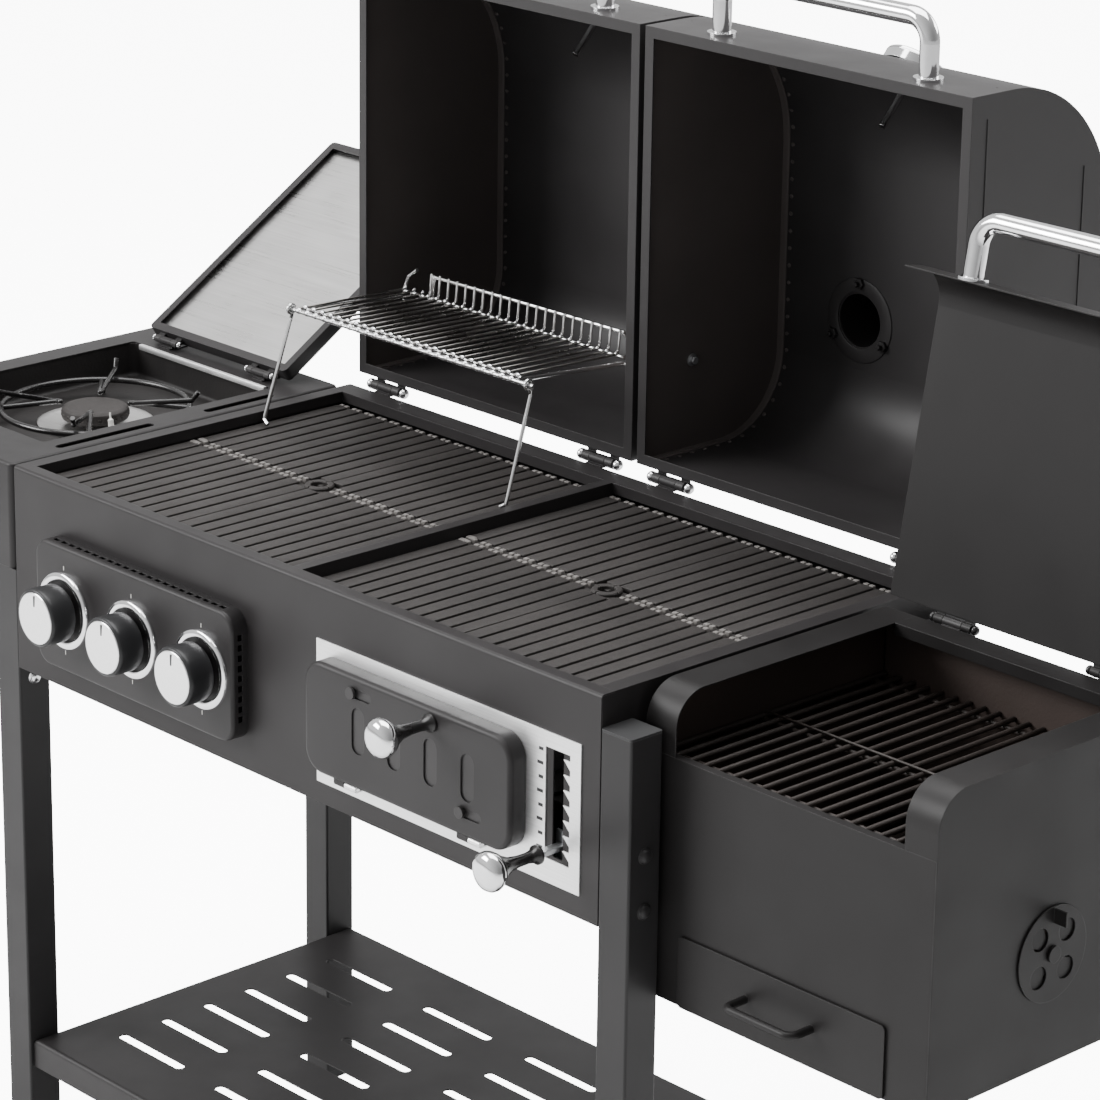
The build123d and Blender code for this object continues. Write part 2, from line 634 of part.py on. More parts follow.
DOOR_KNOB = (692.0, -82.0)
parts["steel_plate"] = steel_plate()
parts["charcoal_door"] = charcoal_door()
parts["door_slider"] = door_slider()
parts["door_knob"] = pull_knob(*DOOR_KNOB, -DOOR_OUT, -94, 20, 9)


def lift_lever():
    """Lever through the notched slot, on an upright arm inside the chamber."""
    knob_part = pull_knob(LEVER_X, LEVER_Z, -24, -93, 20, 8)
    shank = block(LEVER_X - 5, LEVER_X + 5, -25, 9, LEVER_Z - 2.5, LEVER_Z + 2.5)
    arm = block(LEVER_X - 10, LEVER_X + 10, 8, 11, LEVER_Z - 20, LEVER_Z + 14)
    return knob_part + shank + arm


TRAY_X = (466.0, 874.0)
TRAY_Y = (32.0, 430.0)
TRAY_Z = (-168.0, -140.0)


def charcoal_tray():
    """Height-adjustable charcoal tray: pressed pan with slots and a bracket for the lever."""
    x0, x1 = TRAY_X
    y0, y1 = TRAY_Y
    z0, z1 = TRAY_Z
    tray = fillet(block(x0, x1, y0, y1, z0, z1).edges().filter_by(Axis.Z), 12)
    inner = block(x0 + SHEET, x1 - SHEET, y0 + SHEET, y1 - SHEET, z0 + SHEET, z1 + 1)
    tray -= fillet(inner.edges().filter_by(Axis.Z), 10.5)
    for column in range(9):
        for row in range(3):
            x = x0 + 44 + 40 * column
            y = y0 + 75 + 125 * row
            cutter = block(x - 4, x + 4, y - 45, y + 45, z0 - 1, z0 + 3)
            tray -= fillet(cutter.edges().filter_by(Axis.Z), 3.9)
    tray += block(LEVER_X - 8, LEVER_X + 8, 11, y0 + SHEET, z0 + 6, z0 + 9)
    return tray


parts["lift_lever"] = lift_lever()
parts["charcoal_tray"] = charcoal_tray()


# ---------------------------------------------------------------- hoods
HINGE_W = 46.0
KNUCKLE_R = 6.0
GAS_HINGE_X = (50.0, 396.0)
COAL_HINGE_X = (503.0, 849.0)


def hood_outline(inset):
    """Side outline of a hood, moved inward by inset: back wall, round, top, front round."""
    y0, y1 = inset, BODY_D - inset
    top = HOOD_H - inset
    low = 1.0
    front_r, rear_r = HOOD_FRONT_R - inset, HOOD_REAR_R - inset
    front_c = (HOOD_FRONT_R, HOOD_H - HOOD_FRONT_R)
    rear_c = (BODY_D - HOOD_REAR_R, HOOD_H - HOOD_REAR_R)
    lines = [
        Line((0, y1, low), (0, y1, rear_c[1])),
        CenterArc((rear_c[0], rear_c[1], 0), rear_r, 0, 90),
        Line((0, rear_c[0], top), (0, front_c[0], top)),
        CenterArc((front_c[0], front_c[1], 0), front_r, 90, 90),
        Line((0, y0, front_c[1]), (0, y0, low)),
        Line((0, y0, low), (0, y1, low)),
    ]
    turned = Plane(origin=(0, 0, 0), x_dir=(0, 1, 0), z_dir=(1, 0, 0))
    lines[1] = turned * lines[1]
    lines[3] = turned * lines[3]
    return make_face(Curve() + lines)


def knuckle_pair(x, axis_yz, radius, bore, width):
    """The two outer knuckles of a hinge, centred on x."""
    half, inner = width / 2, width / 4 + 0.5
    left = tube((x - half, *axis_yz), (x - inner, *axis_yz), radius, bore)
    right = tube((x + inner, *axis_yz), (x + half, *axis_yz), radius, bore)
    return [(left, x - half, x - inner), (right, x + inner, x + half)]


def hood(x_range, hinge_x):
    """One-piece hood with end walls, an inward lip round its mouth and two hinge leaves."""
    x0, x1 = x_range
    shell = Pos(x0, 0, 0) * extrude(hood_outline(0), amount=x1 - x0, dir=(1, 0, 0))
    cavity = Pos(x0 + SHEET, 0, 0) * extrude(hood_outline(SHEET), amount=x1 - x0 - 2 * SHEET,
                                             dir=(1, 0, 0))
    shell = shell - cavity
    lip = block(x0 + 0.5, x1 - 0.5, 0.5, BODY_D - 0.5, 1, 1 + SHEET)
    lip -= block(x0 + HOOD_LIP, x1 - HOOD_LIP, HOOD_LIP, BODY_D - HOOD_LIP, 0, 4)
    shell += lip
    for x in hinge_x:
        leaf = block(x - HINGE_W / 2, x + HINGE_W / 2, BODY_D, BODY_D + 2, HINGE[1] + KNUCKLE_R + 1, 44)
        for knuckle, xa, xb in knuckle_pair(x, HINGE, KNUCKLE_R, PIN_R + PIN_CLEAR, HINGE_W):
            web = block(xa, xb, BODY_D, HINGE[0], HINGE[1] + KNUCKLE_R - 2, HINGE[1] + KNUCKLE_R + 1)
            web -= rod((xa - 1, *HINGE), (xb + 1, *HINGE), PIN_R + 1.5)
            leaf += knuckle + web
        shell += leaf
    return shell


RACK_PIN_R = 3.0
RACK_PIN_CLOSED = (HINGE[0] - (RACK_PIVOT[1] - HINGE[1]), HINGE[1] + (RACK_PIVOT[0] - HINGE[0]))
STACK = (574.0, 326.0)
STACK_R = (30.5, 29.0)
STACK_H = 235.0
CAP_PIN_OFF = STACK_R[0] + 8
DIAL_ANGLE = 42.0


def dial_plane(x):
    """Plane on the hood's front round where the thermometer sits, facing outward."""
    angle = math.radians(DIAL_ANGLE)
    y = HOOD_FRONT_R - HOOD_FRONT_R * math.cos(angle)
    z = HOOD_H - HOOD_FRONT_R + HOOD_FRONT_R * math.sin(angle)
    return Plane(origin=(x, y, z), x_dir=(1, 0, 0), z_dir=(0, -math.cos(angle), math.sin(angle)))


def rack_pin_holes(x_range):
    y, z = RACK_PIN_CLOSED
    hole_r = RACK_PIN_R + PIN_CLEAR
    left = rod((x_range[0] - 1, y, z), (x_range[0] + 3, y, z), hole_r)
    right = rod((x_range[1] - 3, y, z), (x_range[1] + 1, y, z), hole_r)
    return [left, right]


def thermometer(x):
    """Round dial thermometer: case, raised rim and a probe through the hood."""
    case = Pos(0, 0, 7.5) * Cylinder(36, 13)
    case = fillet(case.edges().filter_by(GeomType.CIRCLE).group_by(Axis.Z)[-1], 3)
    case -= Pos(0, 0, 13.5) * Cylinder(30, 3)
    probe = Pos(0, 0, -30) * Cylinder(4, 64)
    return dial_plane(x) * (case + probe)


def bar_handle(x0, x1, y_wall, out, z, radius, bend):
    """Bent tube handle: two legs from the wall and a straight grip, with round feet."""
    points = [(x0, y_wall, z), (x0, y_wall - out, z), (x1, y_wall - out, z), (x1, y_wall, z)]
    handle = bent_bar(points, bend, radius)
    for x in (x0, x1):
        handle += rod((x, y_wall - 3, z), (x, y_wall, z), radius + 5)
    return handle


HOOD_GRIP = (60.0, 28.0)
HOOD_MID = {"gas": sum(GAS_HOOD_X) / 2, "charcoal": sum(COAL_HOOD_X) / 2}
HOOD_X = {"gas": GAS_HOOD_X, "charcoal": COAL_HOOD_X}
HOOD_HINGES = {"gas": GAS_HINGE_X, "charcoal": COAL_HINGE_X}


def open_hood(shape):
    return swing(shape, HINGE, -HOOD_OPEN)


for name, mid in HOOD_MID.items():
    shell = hood(HOOD_X[name], HOOD_HINGES[name])
    plane = dial_plane(mid)
    shell -= plane * Cylinder(4.5, 12)
    if name == "gas":
        shell = cut_all(shell, rack_pin_holes(GAS_HOOD_X))
    else:
        shell -= rod((STACK[0], STACK[1], HOOD_H - 5), (STACK[0], STACK[1], HOOD_H + 5), STACK_R[1])
    parts[f"{name}_lid"] = open_hood(shell)
    handle = bar_handle(mid - 140, mid + 140, 0, HOOD_GRIP[0], 1 + HOOD_GRIP[1], 10, 24)
    parts[f"{name}_lid_handle"] = open_hood(handle)
    parts[f"{name}_thermometer"] = open_hood(thermometer(mid))


def smokestack():
    """Chimney tube on a round flange with three bolts, and a lug for the cap's pin."""
    x, y = STACK
    top = HOOD_H + STACK_H
    stack = rod((x, y, HOOD_H), (x, y, top), STACK_R[0])
    stack += rod((x, y, HOOD_H), (x, y, HOOD_H + 2), 48)
    for angle in (90, 210, 330):
        bx = x + 40 * math.cos(math.radians(angle))
        by = y + 40 * math.sin(math.radians(angle))
        stack += rod((bx, by, HOOD_H + 2), (bx, by, HOOD_H + 6), 5)
    stack += block(x - 7, x + 7, y - CAP_PIN_OFF - 8, y - STACK_R[0] + 2, top - 12, top - 8)
    stack -= rod((x, y, HOOD_H - 1), (x, y, top + 1), STACK_R[1])
    pin_y = y - CAP_PIN_OFF
    return stack + rod((x, pin_y, top - 12), (x, pin_y, top + 8), 3)


def stack_cap():
    """Flat cap that swings aside about an upright pin to regulate the draught."""
    x, y = STACK
    top = HOOD_H + STACK_H
    pin_y = y - CAP_PIN_OFF
    cap = rod((x, y, top + 0.5), (x, y, top + 2.5), 34)
    cap += block(x - 6.5, x + 6.5, pin_y, y, top + 0.5, top + 2.5)
    cap += rod((x, pin_y, top - 7.5), (x, pin_y, top + 5), 6.5)
    cap += rod((x, y + 24, top + 2), (x, y + 24, top + 14), 5)
    return cap - rod((x, pin_y, top - 13), (x, pin_y, top + 9), 3 + PIN_CLEAR)


parts["smokestack"] = open_hood(smokestack())
parts["stack_cap"] = open_hood(stack_cap())


# ---------------------------------------------------------------- warming rack
WIRE = 2.4


def warming_rack():
    """Wire rack carried by two arms that turn in the hood's end walls."""
    x0, x1 = 45.0, 402.0
    y_front, z_front = RACK_FRONT
    y_rear, z_rear = 508.0, 112.0
    rack = rod((x0 - 1, y_front, z_front), (x1 + 1, y_front, z_front), WIRE)
    rack += rod((x0, y_front + 9, z_front), (x1, y_front + 9, z_front), WIRE)
    rack += rod((x0, y_rear, z_rear), (x1, y_rear, z_rear), WIRE)
    wires = 19
    for index in range(wires):
        x = x0 + (x1 - x0) * index / (wires - 1)
        rack += rod((x, y_front, z_front), (x, y_rear, z_rear), WIRE if index in (0, wires - 1) else 1.9)
    fence = z_rear + 30
    rack += rod((x0, y_rear, fence), (x1, y_rear, fence), WIRE)
    for index in range(wires):
        x = x0 + (x1 - x0) * index / (wires - 1)
        rack += rod((x, y_rear, z_rear), (x, y_rear, fence), 1.9)
    py, pz = RACK_PIVOT
    for x, wall in ((x0, GAS_HOOD_X[0] - 3), (x1, GAS_HOOD_X[1] + 3)):
        rack += rod((x, y_rear, z_rear), (x, py, pz), WIRE)
        rack += rod((x, py, pz), (wall, py, pz), RACK_PIN_R)
        rack += rod((wall, py, pz), (wall + (2 if wall > 200 else -2), py, pz), 6)
        rack += Pos(x, py, pz) * Sphere(RACK_PIN_R)
    for x_a, x_b in ((33, x0), (x1, 430)):
        rack += rod((x_a, y_front, z_front), (x_b, y_front, z_front), WIRE)
    return rack


def rack_legs():
    """Two wire legs hung on the ends of the rack's front wire; each has a bent foot."""
    y_top, z_top = RACK_FRONT
    y_foot, z_foot = RACK_FOOT
    legs = []
    for x_top, x_foot, toe_x in ((38.0, 26.0, 38.0), (422.0, 431.0, 419.0)):
        eye = tube((x_top - 2.2, y_top, z_top), (x_top + 2.2, y_top, z_top), 6.2, WIRE + 0.5)
        start = (x_top, y_top - 1.6, z_top - 5.2)
        shank = rod(start, (x_foot, y_foot, z_foot), 2.2)
        toe = rod((x_foot, y_foot, z_foot), (toe_x, y_foot, z_foot), 2.2)
        legs.append(eye + shank + toe + Pos(x_foot, y_foot, z_foot) * Sphere(2.2))
    return Compound(children=legs)


parts["warming_rack"] = warming_rack()
parts["rack_legs"] = rack_legs()


# ---------------------------------------------------------------- side burner table
def side_table():
    """Table top with a drop opening, two long slots and aprons all round."""
    x0, x1 = TABLE_X
    table = block(x0, x1, 0, TABLE_D, -APRON, 0)
    table = fillet(table.edges().filter_by(Axis.Z), 8)
    table = fillet(table.edges().group_by(Axis.Z)[-1], 4)
    hollow = block(x0 + SHEET, x1 - SHEET, SHEET, TABLE_D - SHEET, -APRON - 1, -SHEET)
    hollow = fillet(hollow.edges().filter_by(Axis.Z), 8 - SHEET)
    table -= fillet(hollow.edges().group_by(Axis.Z)[-1], 4 - SHEET)
    opening = block(*PAN_X, *PAN_Y, -5, 5)
    table -= fillet(opening.edges().filter_by(Axis.Z), 5)
    for y0, y1 in TABLE_SLOT_Y:
        cutter = block(*TABLE_SLOT_X, y0, y1, -5, 5)
        table -= fillet(cutter.edges().filter_by(Axis.Z), 5.4)
    return table - rod((SIDE_KNOB[0], -1, SIDE_KNOB[1]), (SIDE_KNOB[0], 4, SIDE_KNOB[1]), 7)


BURNER_AT = (-172.0, 236.0)


def burner_pan():
    """Drop pan under the opening, with a round hole for the burner."""
    out = 2.0
    x0, x1 = PAN_X[0] - out, PAN_X[1] + out
    y0, y1 = PAN_Y[0] - out, PAN_Y[1] + out
    top = -SHEET - 0.05
    pan = fillet(block(x0, x1, y0, y1, -PAN_DEPTH, top).edges().filter_by(Axis.Z), PAN_R)
    pan = fillet(pan.edges().group_by(Axis.Z)[0], PAN_FOOT_R)
    inner = block(x0 + WALL, x1 - WALL, y0 + WALL, y1 - WALL, -PAN_DEPTH + WALL, 5)
    inner = fillet(inner.edges().filter_by(Axis.Z), PAN_R - WALL)
    inner = fillet(inner.edges().group_by(Axis.Z)[0], PAN_FOOT_R - WALL)
    flange = block(x0 - 8, x1 + 8, y0 - 8, y1 + 8, top - WALL, top)
    flange = fillet(flange.edges().filter_by(Axis.Z), PAN_R + 6)
    pan = pan + flange - inner
    return pan - rod((*BURNER_AT, -60), (*BURNER_AT, -20), 62)


def side_burner():
    """Round cast burner head on a venturi tube, with a bracket under the pan."""
    x, y = BURNER_AT
    head = rod((x, y, -34), (x, y, -20), 38)
    head = fillet(head.edges().filter_by(GeomType.CIRCLE).group_by(Axis.Z)[-1], 3)
    head += rod((x, y, -62), (x, y, -34), 22)
    for index in range(24):
        angle = math.radians(15 * index)
        dx, dy = math.cos(angle), math.sin(angle)
        head -= rod((x + 33 * dx, y + 33 * dy, -27), (x + 41 * dx, y + 41 * dy, -27), 1.5)
    head += rod((x, SIDE_SHIFT + 34, SIDE_KNOB[1]), (x, y, SIDE_KNOB[1]), 10)
    head += block(PAN_X[0] + 4, PAN_X[1] - 4, y + 40, y + 60, -PAN_DEPTH - 2, -PAN_DEPTH - 0.05)
    head += block(x - 8, x + 8, y, y + 60, -PAN_DEPTH - 6, -PAN_DEPTH - 2)
    return head


TRIVET_Z = -16.0
TRIVET_R = 106.0
FINGER_END = TRIVET_R + 12


def trivet():
    """Wire pot support: an outer ring, an inner ring and four looped fingers."""
    cx, cy = BURNER_AT
    ring_z = TRIVET_Z - 3.6
    pieces = Pos(cx, cy, ring_z) * Torus(TRIVET_R, 2.6)
    pieces += Pos(cx, cy, ring_z) * Torus(46, 2.6)
    for index in range(4):
        angle = math.radians(45 + 90 * index)
        along = Vector(math.cos(angle), math.sin(angle), 0)
        across = Vector(-math.sin(angle), math.cos(angle), 0)
        centre = Vector(cx, cy, TRIVET_Z)
        for side in (-1, 1):
            inner = centre + along * 40 + across * 8 * side
            outer = centre + along * FINGER_END + across * 8 * side
            pieces += rod(tuple(inner), tuple(outer), 2.4)
            tip = outer + Vector(0, 0, 16)
            pieces += rod(tuple(outer), tuple(tip), 2.4)
            pieces += Pos(*outer) * Sphere(2.4)
        bridge_a = centre + along * FINGER_END + across * 8 + Vector(0, 0, 16)
        bridge_b = centre + along * FINGER_END - across * 8 + Vector(0, 0, 16)
        pieces += rod(tuple(bridge_a), tuple(bridge_b), 2.4)
        pieces += Pos(*bridge_a) * Sphere(2.4)
        pieces += Pos(*bridge_b) * Sphere(2.4)
        foot = centre + along * (TRIVET_R + 0.5)
        pieces += rod((foot.X, foot.Y, -PAN_DEPTH + WALL + 0.1), (foot.X, foot.Y, ring_z + 0.5), 2.3)
    return pieces


SIDE_LID_X = (-289.0, -40.0)
SIDE_LID_Y = (58.0, 392.0)
SIDE_LID_Z = (2.0, 20.0)
SIDE_INNER_Z = 9.0
SIDE_KNUCKLES = (-250.0, -80.0)


def side_lid():
    """Shallow pressed lid with a turned-in rim, and knuckles along its back edge."""
    x0, x1 = SIDE_LID_X
    y0, y1 = SIDE_LID_Y
    z0, z1 = SIDE_LID_Z
    lid = fillet(block(x0, x1, y0, y1, z0, z1).edges().filter_by(Axis.Z), 6)
    lid = fillet(lid.edges().group_by(Axis.Z)[-1], 5)
    rim = 10.0
    upper = block(x0 + WALL, x1 - WALL, y0 + WALL, y1 - WALL, z0 + WALL, z1 - WALL)
    upper = fillet(upper.edges().filter_by(Axis.Z), 6 - WALL)
    lid -= fillet(upper.edges().group_by(Axis.Z)[-1], 5 - WALL)
    lid -= block(x0 + rim, x1 - rim, y0 + rim, y1 - rim, z0 - 1, z0 + 2)
    for x in SIDE_KNUCKLES:
        for knuckle, xa, xb in knuckle_pair(x, SIDE_HINGE, 4.5, 2 + PIN_CLEAR, 40):
            web = block(xa, xb, y1 - 0.6, SIDE_HINGE[0], SIDE_HINGE[1] - 1.5, SIDE_HINGE[1] + 1.5)
            web -= rod((xa - 1, *SIDE_HINGE), (xb + 1, *SIDE_HINGE), 3)
            lid += knuckle + web
    return lid


def side_lid_panel():
    """Bright inner sheet of the side lid."""
    x0, x1 = SIDE_LID_X
    y0, y1 = SIDE_LID_Y
    sheet = block(x0 + 1.5, x1 - 1.5, y0 + 1.5, y1 - 1.5, SIDE_INNER_Z, SIDE_INNER_Z + WALL)
    return fillet(sheet.edges().filter_by(Axis.Z), 4.5)


parts["side_table"] = side_table()
parts["burner_pan"] = burner_pan()
parts["side_burner"] = side_burner()
parts["trivet"] = trivet()
parts["side_lid"] = swing(side_lid(), SIDE_HINGE, -SIDE_OPEN)
parts["side_lid_panel"] = swing(side_lid_panel(), SIDE_HINGE, -SIDE_OPEN)


# ---------------------------------------------------------------- firebox
def box_side_outline(low, y0, y1, top, radius):
    """Side outline of the firebox: straight back, quarter round at the front top."""
    lines = [
        Line((0, y0, low), (0, y0, top - radius)),
        ThreePointArc((0, y0, top - radius),
                      (0, y0 + radius * (1 - math.cos(math.pi / 4)), top - radius * (1 - math.sin(math.pi / 4))),
                      (0, y0 + radius, top)),
        Line((0, y0 + radius, top), (0, y1, top)),
        Line((0, y1, top), (0, y1, low)),
        Line((0, y1, low), (0, y0, low)),
    ]
    return make_face(Curve() + lines)


DRAWER_X = (972.0, 1208.0)
DRAWER_Z = (-297.5, -238.0)
GRATE_LEDGE_Z = -70.0
COAL_LEDGE_Z = -218.0


def firebox_side(x_out, inward, hole):
    """Firebox end wall with its top edge turned inward and two ledges for the grates."""
    wall_x = sorted((x_out, x_out + inward * SHEET))
    flange_x = sorted((x_out, x_out + inward * BOX_FLANGE))
    outline = box_side_outline(BOX_FLOOR, BOX_Y[0], BOX_Y[1], BOX_TOP, BOX_R)
    wall = Pos(wall_x[0], 0, 0) * extrude(outline, amount=SHEET, dir=(1, 0, 0))
    strip = box_side_outline(BOX_FRONT_TOP, BOX_Y[0], BOX_Y[1], BOX_TOP, BOX_R)
    inner = box_side_outline(BOX_FRONT_TOP - 5, BOX_Y[0] + SHEET, BOX_Y[1] + 5, BOX_TOP - SHEET, BOX_R - SHEET)
    flange = extrude(strip, amount=flange_x[1] - flange_x[0], dir=(1, 0, 0))
    flange -= Pos(-1, 0, 0) * extrude(inner, amount=flange_x[1] - flange_x[0] + 2, dir=(1, 0, 0))
    wall += Pos(flange_x[0], 0, 0) * flange
    for z in (GRATE_LEDGE_Z, COAL_LEDGE_Z):
        ledge_x = sorted((x_out + inward * SHEET / 2, x_out + inward * 14))
        wall += block(*ledge_x, BOX_Y[0] + 8, BOX_Y[1] - 8, z - SHEET, z)
    if hole is not None:
        wall += passage_prism(BODY_W, BOX_X[0] + 0.5 - BODY_W, 3)
        wall -= hole
    return wall


def firebox_tub():
    """Front, floor and back of the firebox in one bent sheet, with the drawer's opening."""
    x0, x1 = BOX_X[0] + SHEET, BOX_X[1] - SHEET
    y0, y1 = BOX_Y
    tub = block(x0, x1, y0, y0 + SHEET, BOX_FLOOR, BOX_FRONT_TOP)
    tub += block(x0, x1, y1 - SHEET, y1, BOX_FLOOR, BOX_TOP - SHEET)
    tub += block(x0, x1, y0, y1, BOX_FLOOR, BOX_FLOOR + SHEET)
    tub += block(x0 + 14, x1 - 14, y0, y0 + 9, BOX_FRONT_TOP - SHEET, BOX_FRONT_TOP)
    fx0, fx1 = BOX_X[0] + BOX_FLANGE, BOX_X[1] - BOX_FLANGE
    tub += block(fx0, fx1, y1 - 29, y1, BOX_TOP - SHEET, BOX_TOP)
    tub += block(fx0, fx1, y1 - 29, y1 - 29 + SHEET, BOX_TOP - 12, BOX_TOP)
    tub -= block(DRAWER_X[0], DRAWER_X[1], y0 - 1, y0 + SHEET + 1, *DRAWER_Z)
    return tub


def wire_grate(x0, x1, y0, y1, z, rods, radius, cross_y):
    """Welded wire grate: rods from front to back over a few cross rods."""
    grate = rod((x0, cross_y[0], z - 2 * radius + 0.6), (x1, cross_y[0], z - 2 * radius + 0.6), radius)
    for y in cross_y[1:]:
        grate += rod((x0, y, z - 2 * radius + 0.6), (x1, y, z - 2 * radius + 0.6), radius)
    for index in range(rods):
        x = x0 + 4 + (x1 - x0 - 8) * index / (rods - 1)
        grate += rod((x, y0, z), (x, y1, z), radius)
    return grate


def firebox_grates():
    x0, x1 = BOX_X[0] + 3, BOX_X[1] - 3
    y0, y1 = BOX_Y[0] + 10, BOX_Y[1] - 4
    upper_z = GRATE_LEDGE_Z + 2.6 + 4.6
    upper = wire_grate(x0, x1, y0, y1, upper_z, 20, 2.6, (y0 + 14, 195.0, y1 - 14))
    lower_z = COAL_LEDGE_Z + 4.0 + 7.4
    lower = wire_grate(x0, x1, y0 + 4, y1 - 4, lower_z, 13, 4.0, (y0 + 30, 210.0, y1 - 30))
    return Compound(children=[upper, lower])


def ash_drawer():
    """Ash drawer of the firebox: tray, front plate and a bent pull."""
    x0, x1 = DRAWER_X[0] + 2, DRAWER_X[1] - 2
    z0, z1 = BOX_FLOOR + SHEET + 0.6, DRAWER_Z[1] - 3
    y1 = BOX_Y[1] - 12
    tray = block(x0, x1, BOX_Y[0] - 2, y1, DRAWER_Z[0] + 1.5, z1)
    tray -= block(x0 + 1.2, x1 - 1.2, BOX_Y[0] - 1, y1 - 1.2, DRAWER_Z[0] + 2.7, z1 + 1)
    front = block(x0 - 12, x1 + 12, BOX_Y[0] - 2.6, BOX_Y[0] - 0.4, z0 - 2, z1 + 12)
    front = fillet(front.edges().filter_by(Axis.Y), 5)
    pull = bent_bar([(x0 + 75, BOX_Y[0] - 2, -262), (x0 + 75, BOX_Y[0] - 30, -262),
                     (x1 - 75, BOX_Y[0] - 30, -262), (x1 - 75, BOX_Y[0] - 2, -262)], 9, 4)
    return tray + front + pull


def box_lid_section(inset):
    """The lid's outer section, moved inward by inset: front face, top, bend radius, lip end."""
    y_front, top = BOX_Y[0] - 1.0 - SHEET + inset, BOX_TOP + 1 + SHEET - inset
    radius = BOX_R + 1.0 + SHEET - inset
    low = BOX_FRONT_TOP + 4
    return y_front, top, radius, low


def firebox_lid():
    """Sheet lid: flat top, quarter-round front, short front lip and two hinge leaves."""
    x0, x1 = BOX_X
    y_rear = BOX_Y[1] - 1.5
    solids = []
    for inset in (0.0, SHEET):
        y_front, top, radius, low = box_lid_section(inset)
        outline = box_side_outline(low - inset * 2, y_front, y_rear + inset * 2, top, radius)
        solids.append(extrude(outline, amount=x1 - x0 + inset * 4, dir=(1, 0, 0)))
    lid = Pos(x0, 0, 0) * solids[0] - Pos(x0 - SHEET * 2, 0, 0) * solids[1]
    for x in BOX_HINGE_X:
        top = BOX_TOP + 1 + SHEET
        leaf = block(x - HINGE_W / 2, x + HINGE_W / 2, y_rear - 26, y_rear + 1, top, top + 1.6)
        for knuckle, xa, xb in knuckle_pair(x, BOX_HINGE, 5, 2.5 + PIN_CLEAR, HINGE_W):
            web = block(xa, xb, y_rear - 1, BOX_HINGE[0], top, top + 1.6)
            web -= rod((xa - 1, *BOX_HINGE), (xb + 1, *BOX_HINGE), 3.5)
            leaf += knuckle + web
        lid += leaf
    return lid


BOX_HINGE_X = (994.0, 1186.0)
BOX_GRIP_X = (985.0, 1195.0)
DAMPER_AT = (205.0, -190.0)
DAMPER_R = 46.0


def damper_holes(x0, x1, turn):
    y, z = DAMPER_AT
    holes = []
    for index in range(4):
        angle = math.radians(90 * index + turn)
        hy, hz = y + 26 * math.cos(angle), z + 26 * math.sin(angle)
        holes.append(rod((x0, hy, hz), (x1, hy, hz), 11))
    return holes


def firebox_damper():
    """Air disc on the firebox's outer wall: four holes, a tab and a bore for its stud."""
    x = BOX_X[1]
    y, z = DAMPER_AT
    disc = rod((x + 0.4, y, z), (x + 2.0, y, z), DAMPER_R)
    disc = cut_all(disc, damper_holes(x - 1, x + 4, 45))
    tab = block(x + 1.9, x + 16, y - 1, y + 1, z + 30, z + 44)
    disc += tab
    return disc - rod((x - 1, y, z), (x + 5, y, z), 4 + PIN_CLEAR)


right_side = firebox_side(BOX_X[1], -1, None)
right_side = cut_all(right_side, damper_holes(BOX_X[1] - 3, BOX_X[1] + 1, 0))
stud = rod((BOX_X[1] - 1, *DAMPER_AT), (BOX_X[1] + 3, *DAMPER_AT), 4)
stud += rod((BOX_X[1] + 2.4, *DAMPER_AT), (BOX_X[1] + 5, *DAMPER_AT), 8)
parts["firebox_sides"] = Compound(children=[firebox_side(BOX_X[0], 1, passage), right_side + stud])
parts["firebox_tub"] = firebox_tub()
parts["firebox_grates"] = firebox_grates()
parts["firebox_damper"] = firebox_damper()
parts["ash_drawer"] = ash_drawer()
parts["firebox_lid"] = swing(firebox_lid(), BOX_HINGE, -BOX_OPEN)
grip = bar_handle(*BOX_GRIP_X, BOX_Y[0] - 1 - SHEET, 58, BOX_TOP - BOX_R - 8, 10, 24)
parts["firebox_lid_handle"] = swing(grip, BOX_HINGE, -BOX_OPEN)


# ---------------------------------------------------------------- hinges, trays, bolts
def fixed_knuckle(x, axis_yz, radius, bore, width, y_wall, z_low, z_high):
    """Fixed leaf of a hinge: a plate on the wall and the middle knuckle."""
    half = width / 4
    knuckle = tube((x - half, *axis_yz), (x + half, *axis_yz), radius, bore)
    web = block(x - half, x + half, y_wall, axis_yz[0], axis_yz[1] - radius, axis_yz[1] - radius + 2.5)
    web -= rod((x - width, *axis_yz), (x + width, *axis_yz), bore + 0.5)
    plate = block(x - width / 2, x + width / 2, y_wall, y_wall + 2, z_low, z_high)
    return knuckle + web + plate


hinge_leaves = []
for x in GAS_HINGE_X + COAL_HINGE_X:
    hinge_leaves.append(fixed_knuckle(x, HINGE, KNUCKLE_R, PIN_R + PIN_CLEAR, HINGE_W, BODY_D,
                                      -42, HINGE[1] - KNUCKLE_R + 0.5))
for x in BOX_HINGE_X:
    hinge_leaves.append(fixed_knuckle(x, BOX_HINGE, 5, 2.5 + PIN_CLEAR, HINGE_W, BOX_Y[1], -30,
                                      BOX_HINGE[1] - 4.5))
for x in SIDE_KNUCKLES:
    half = 10
    knuckle = tube((x - half, *SIDE_HINGE), (x + half, *SIDE_HINGE), 4.5, 2 + PIN_CLEAR)
    base = block(x - half, x + half, SIDE_HINGE[0] - 5, SIDE_HINGE[0] + 22, 0.0, 1.2)
    rise = block(x - half, x + half, SIDE_HINGE[0] - 1.5, SIDE_HINGE[0] + 1.5, 0.0, SIDE_HINGE[1] - 3)
    hinge_leaves.append(knuckle + base + rise)
parts["hinge_leaves"] = Compound(children=hinge_leaves)


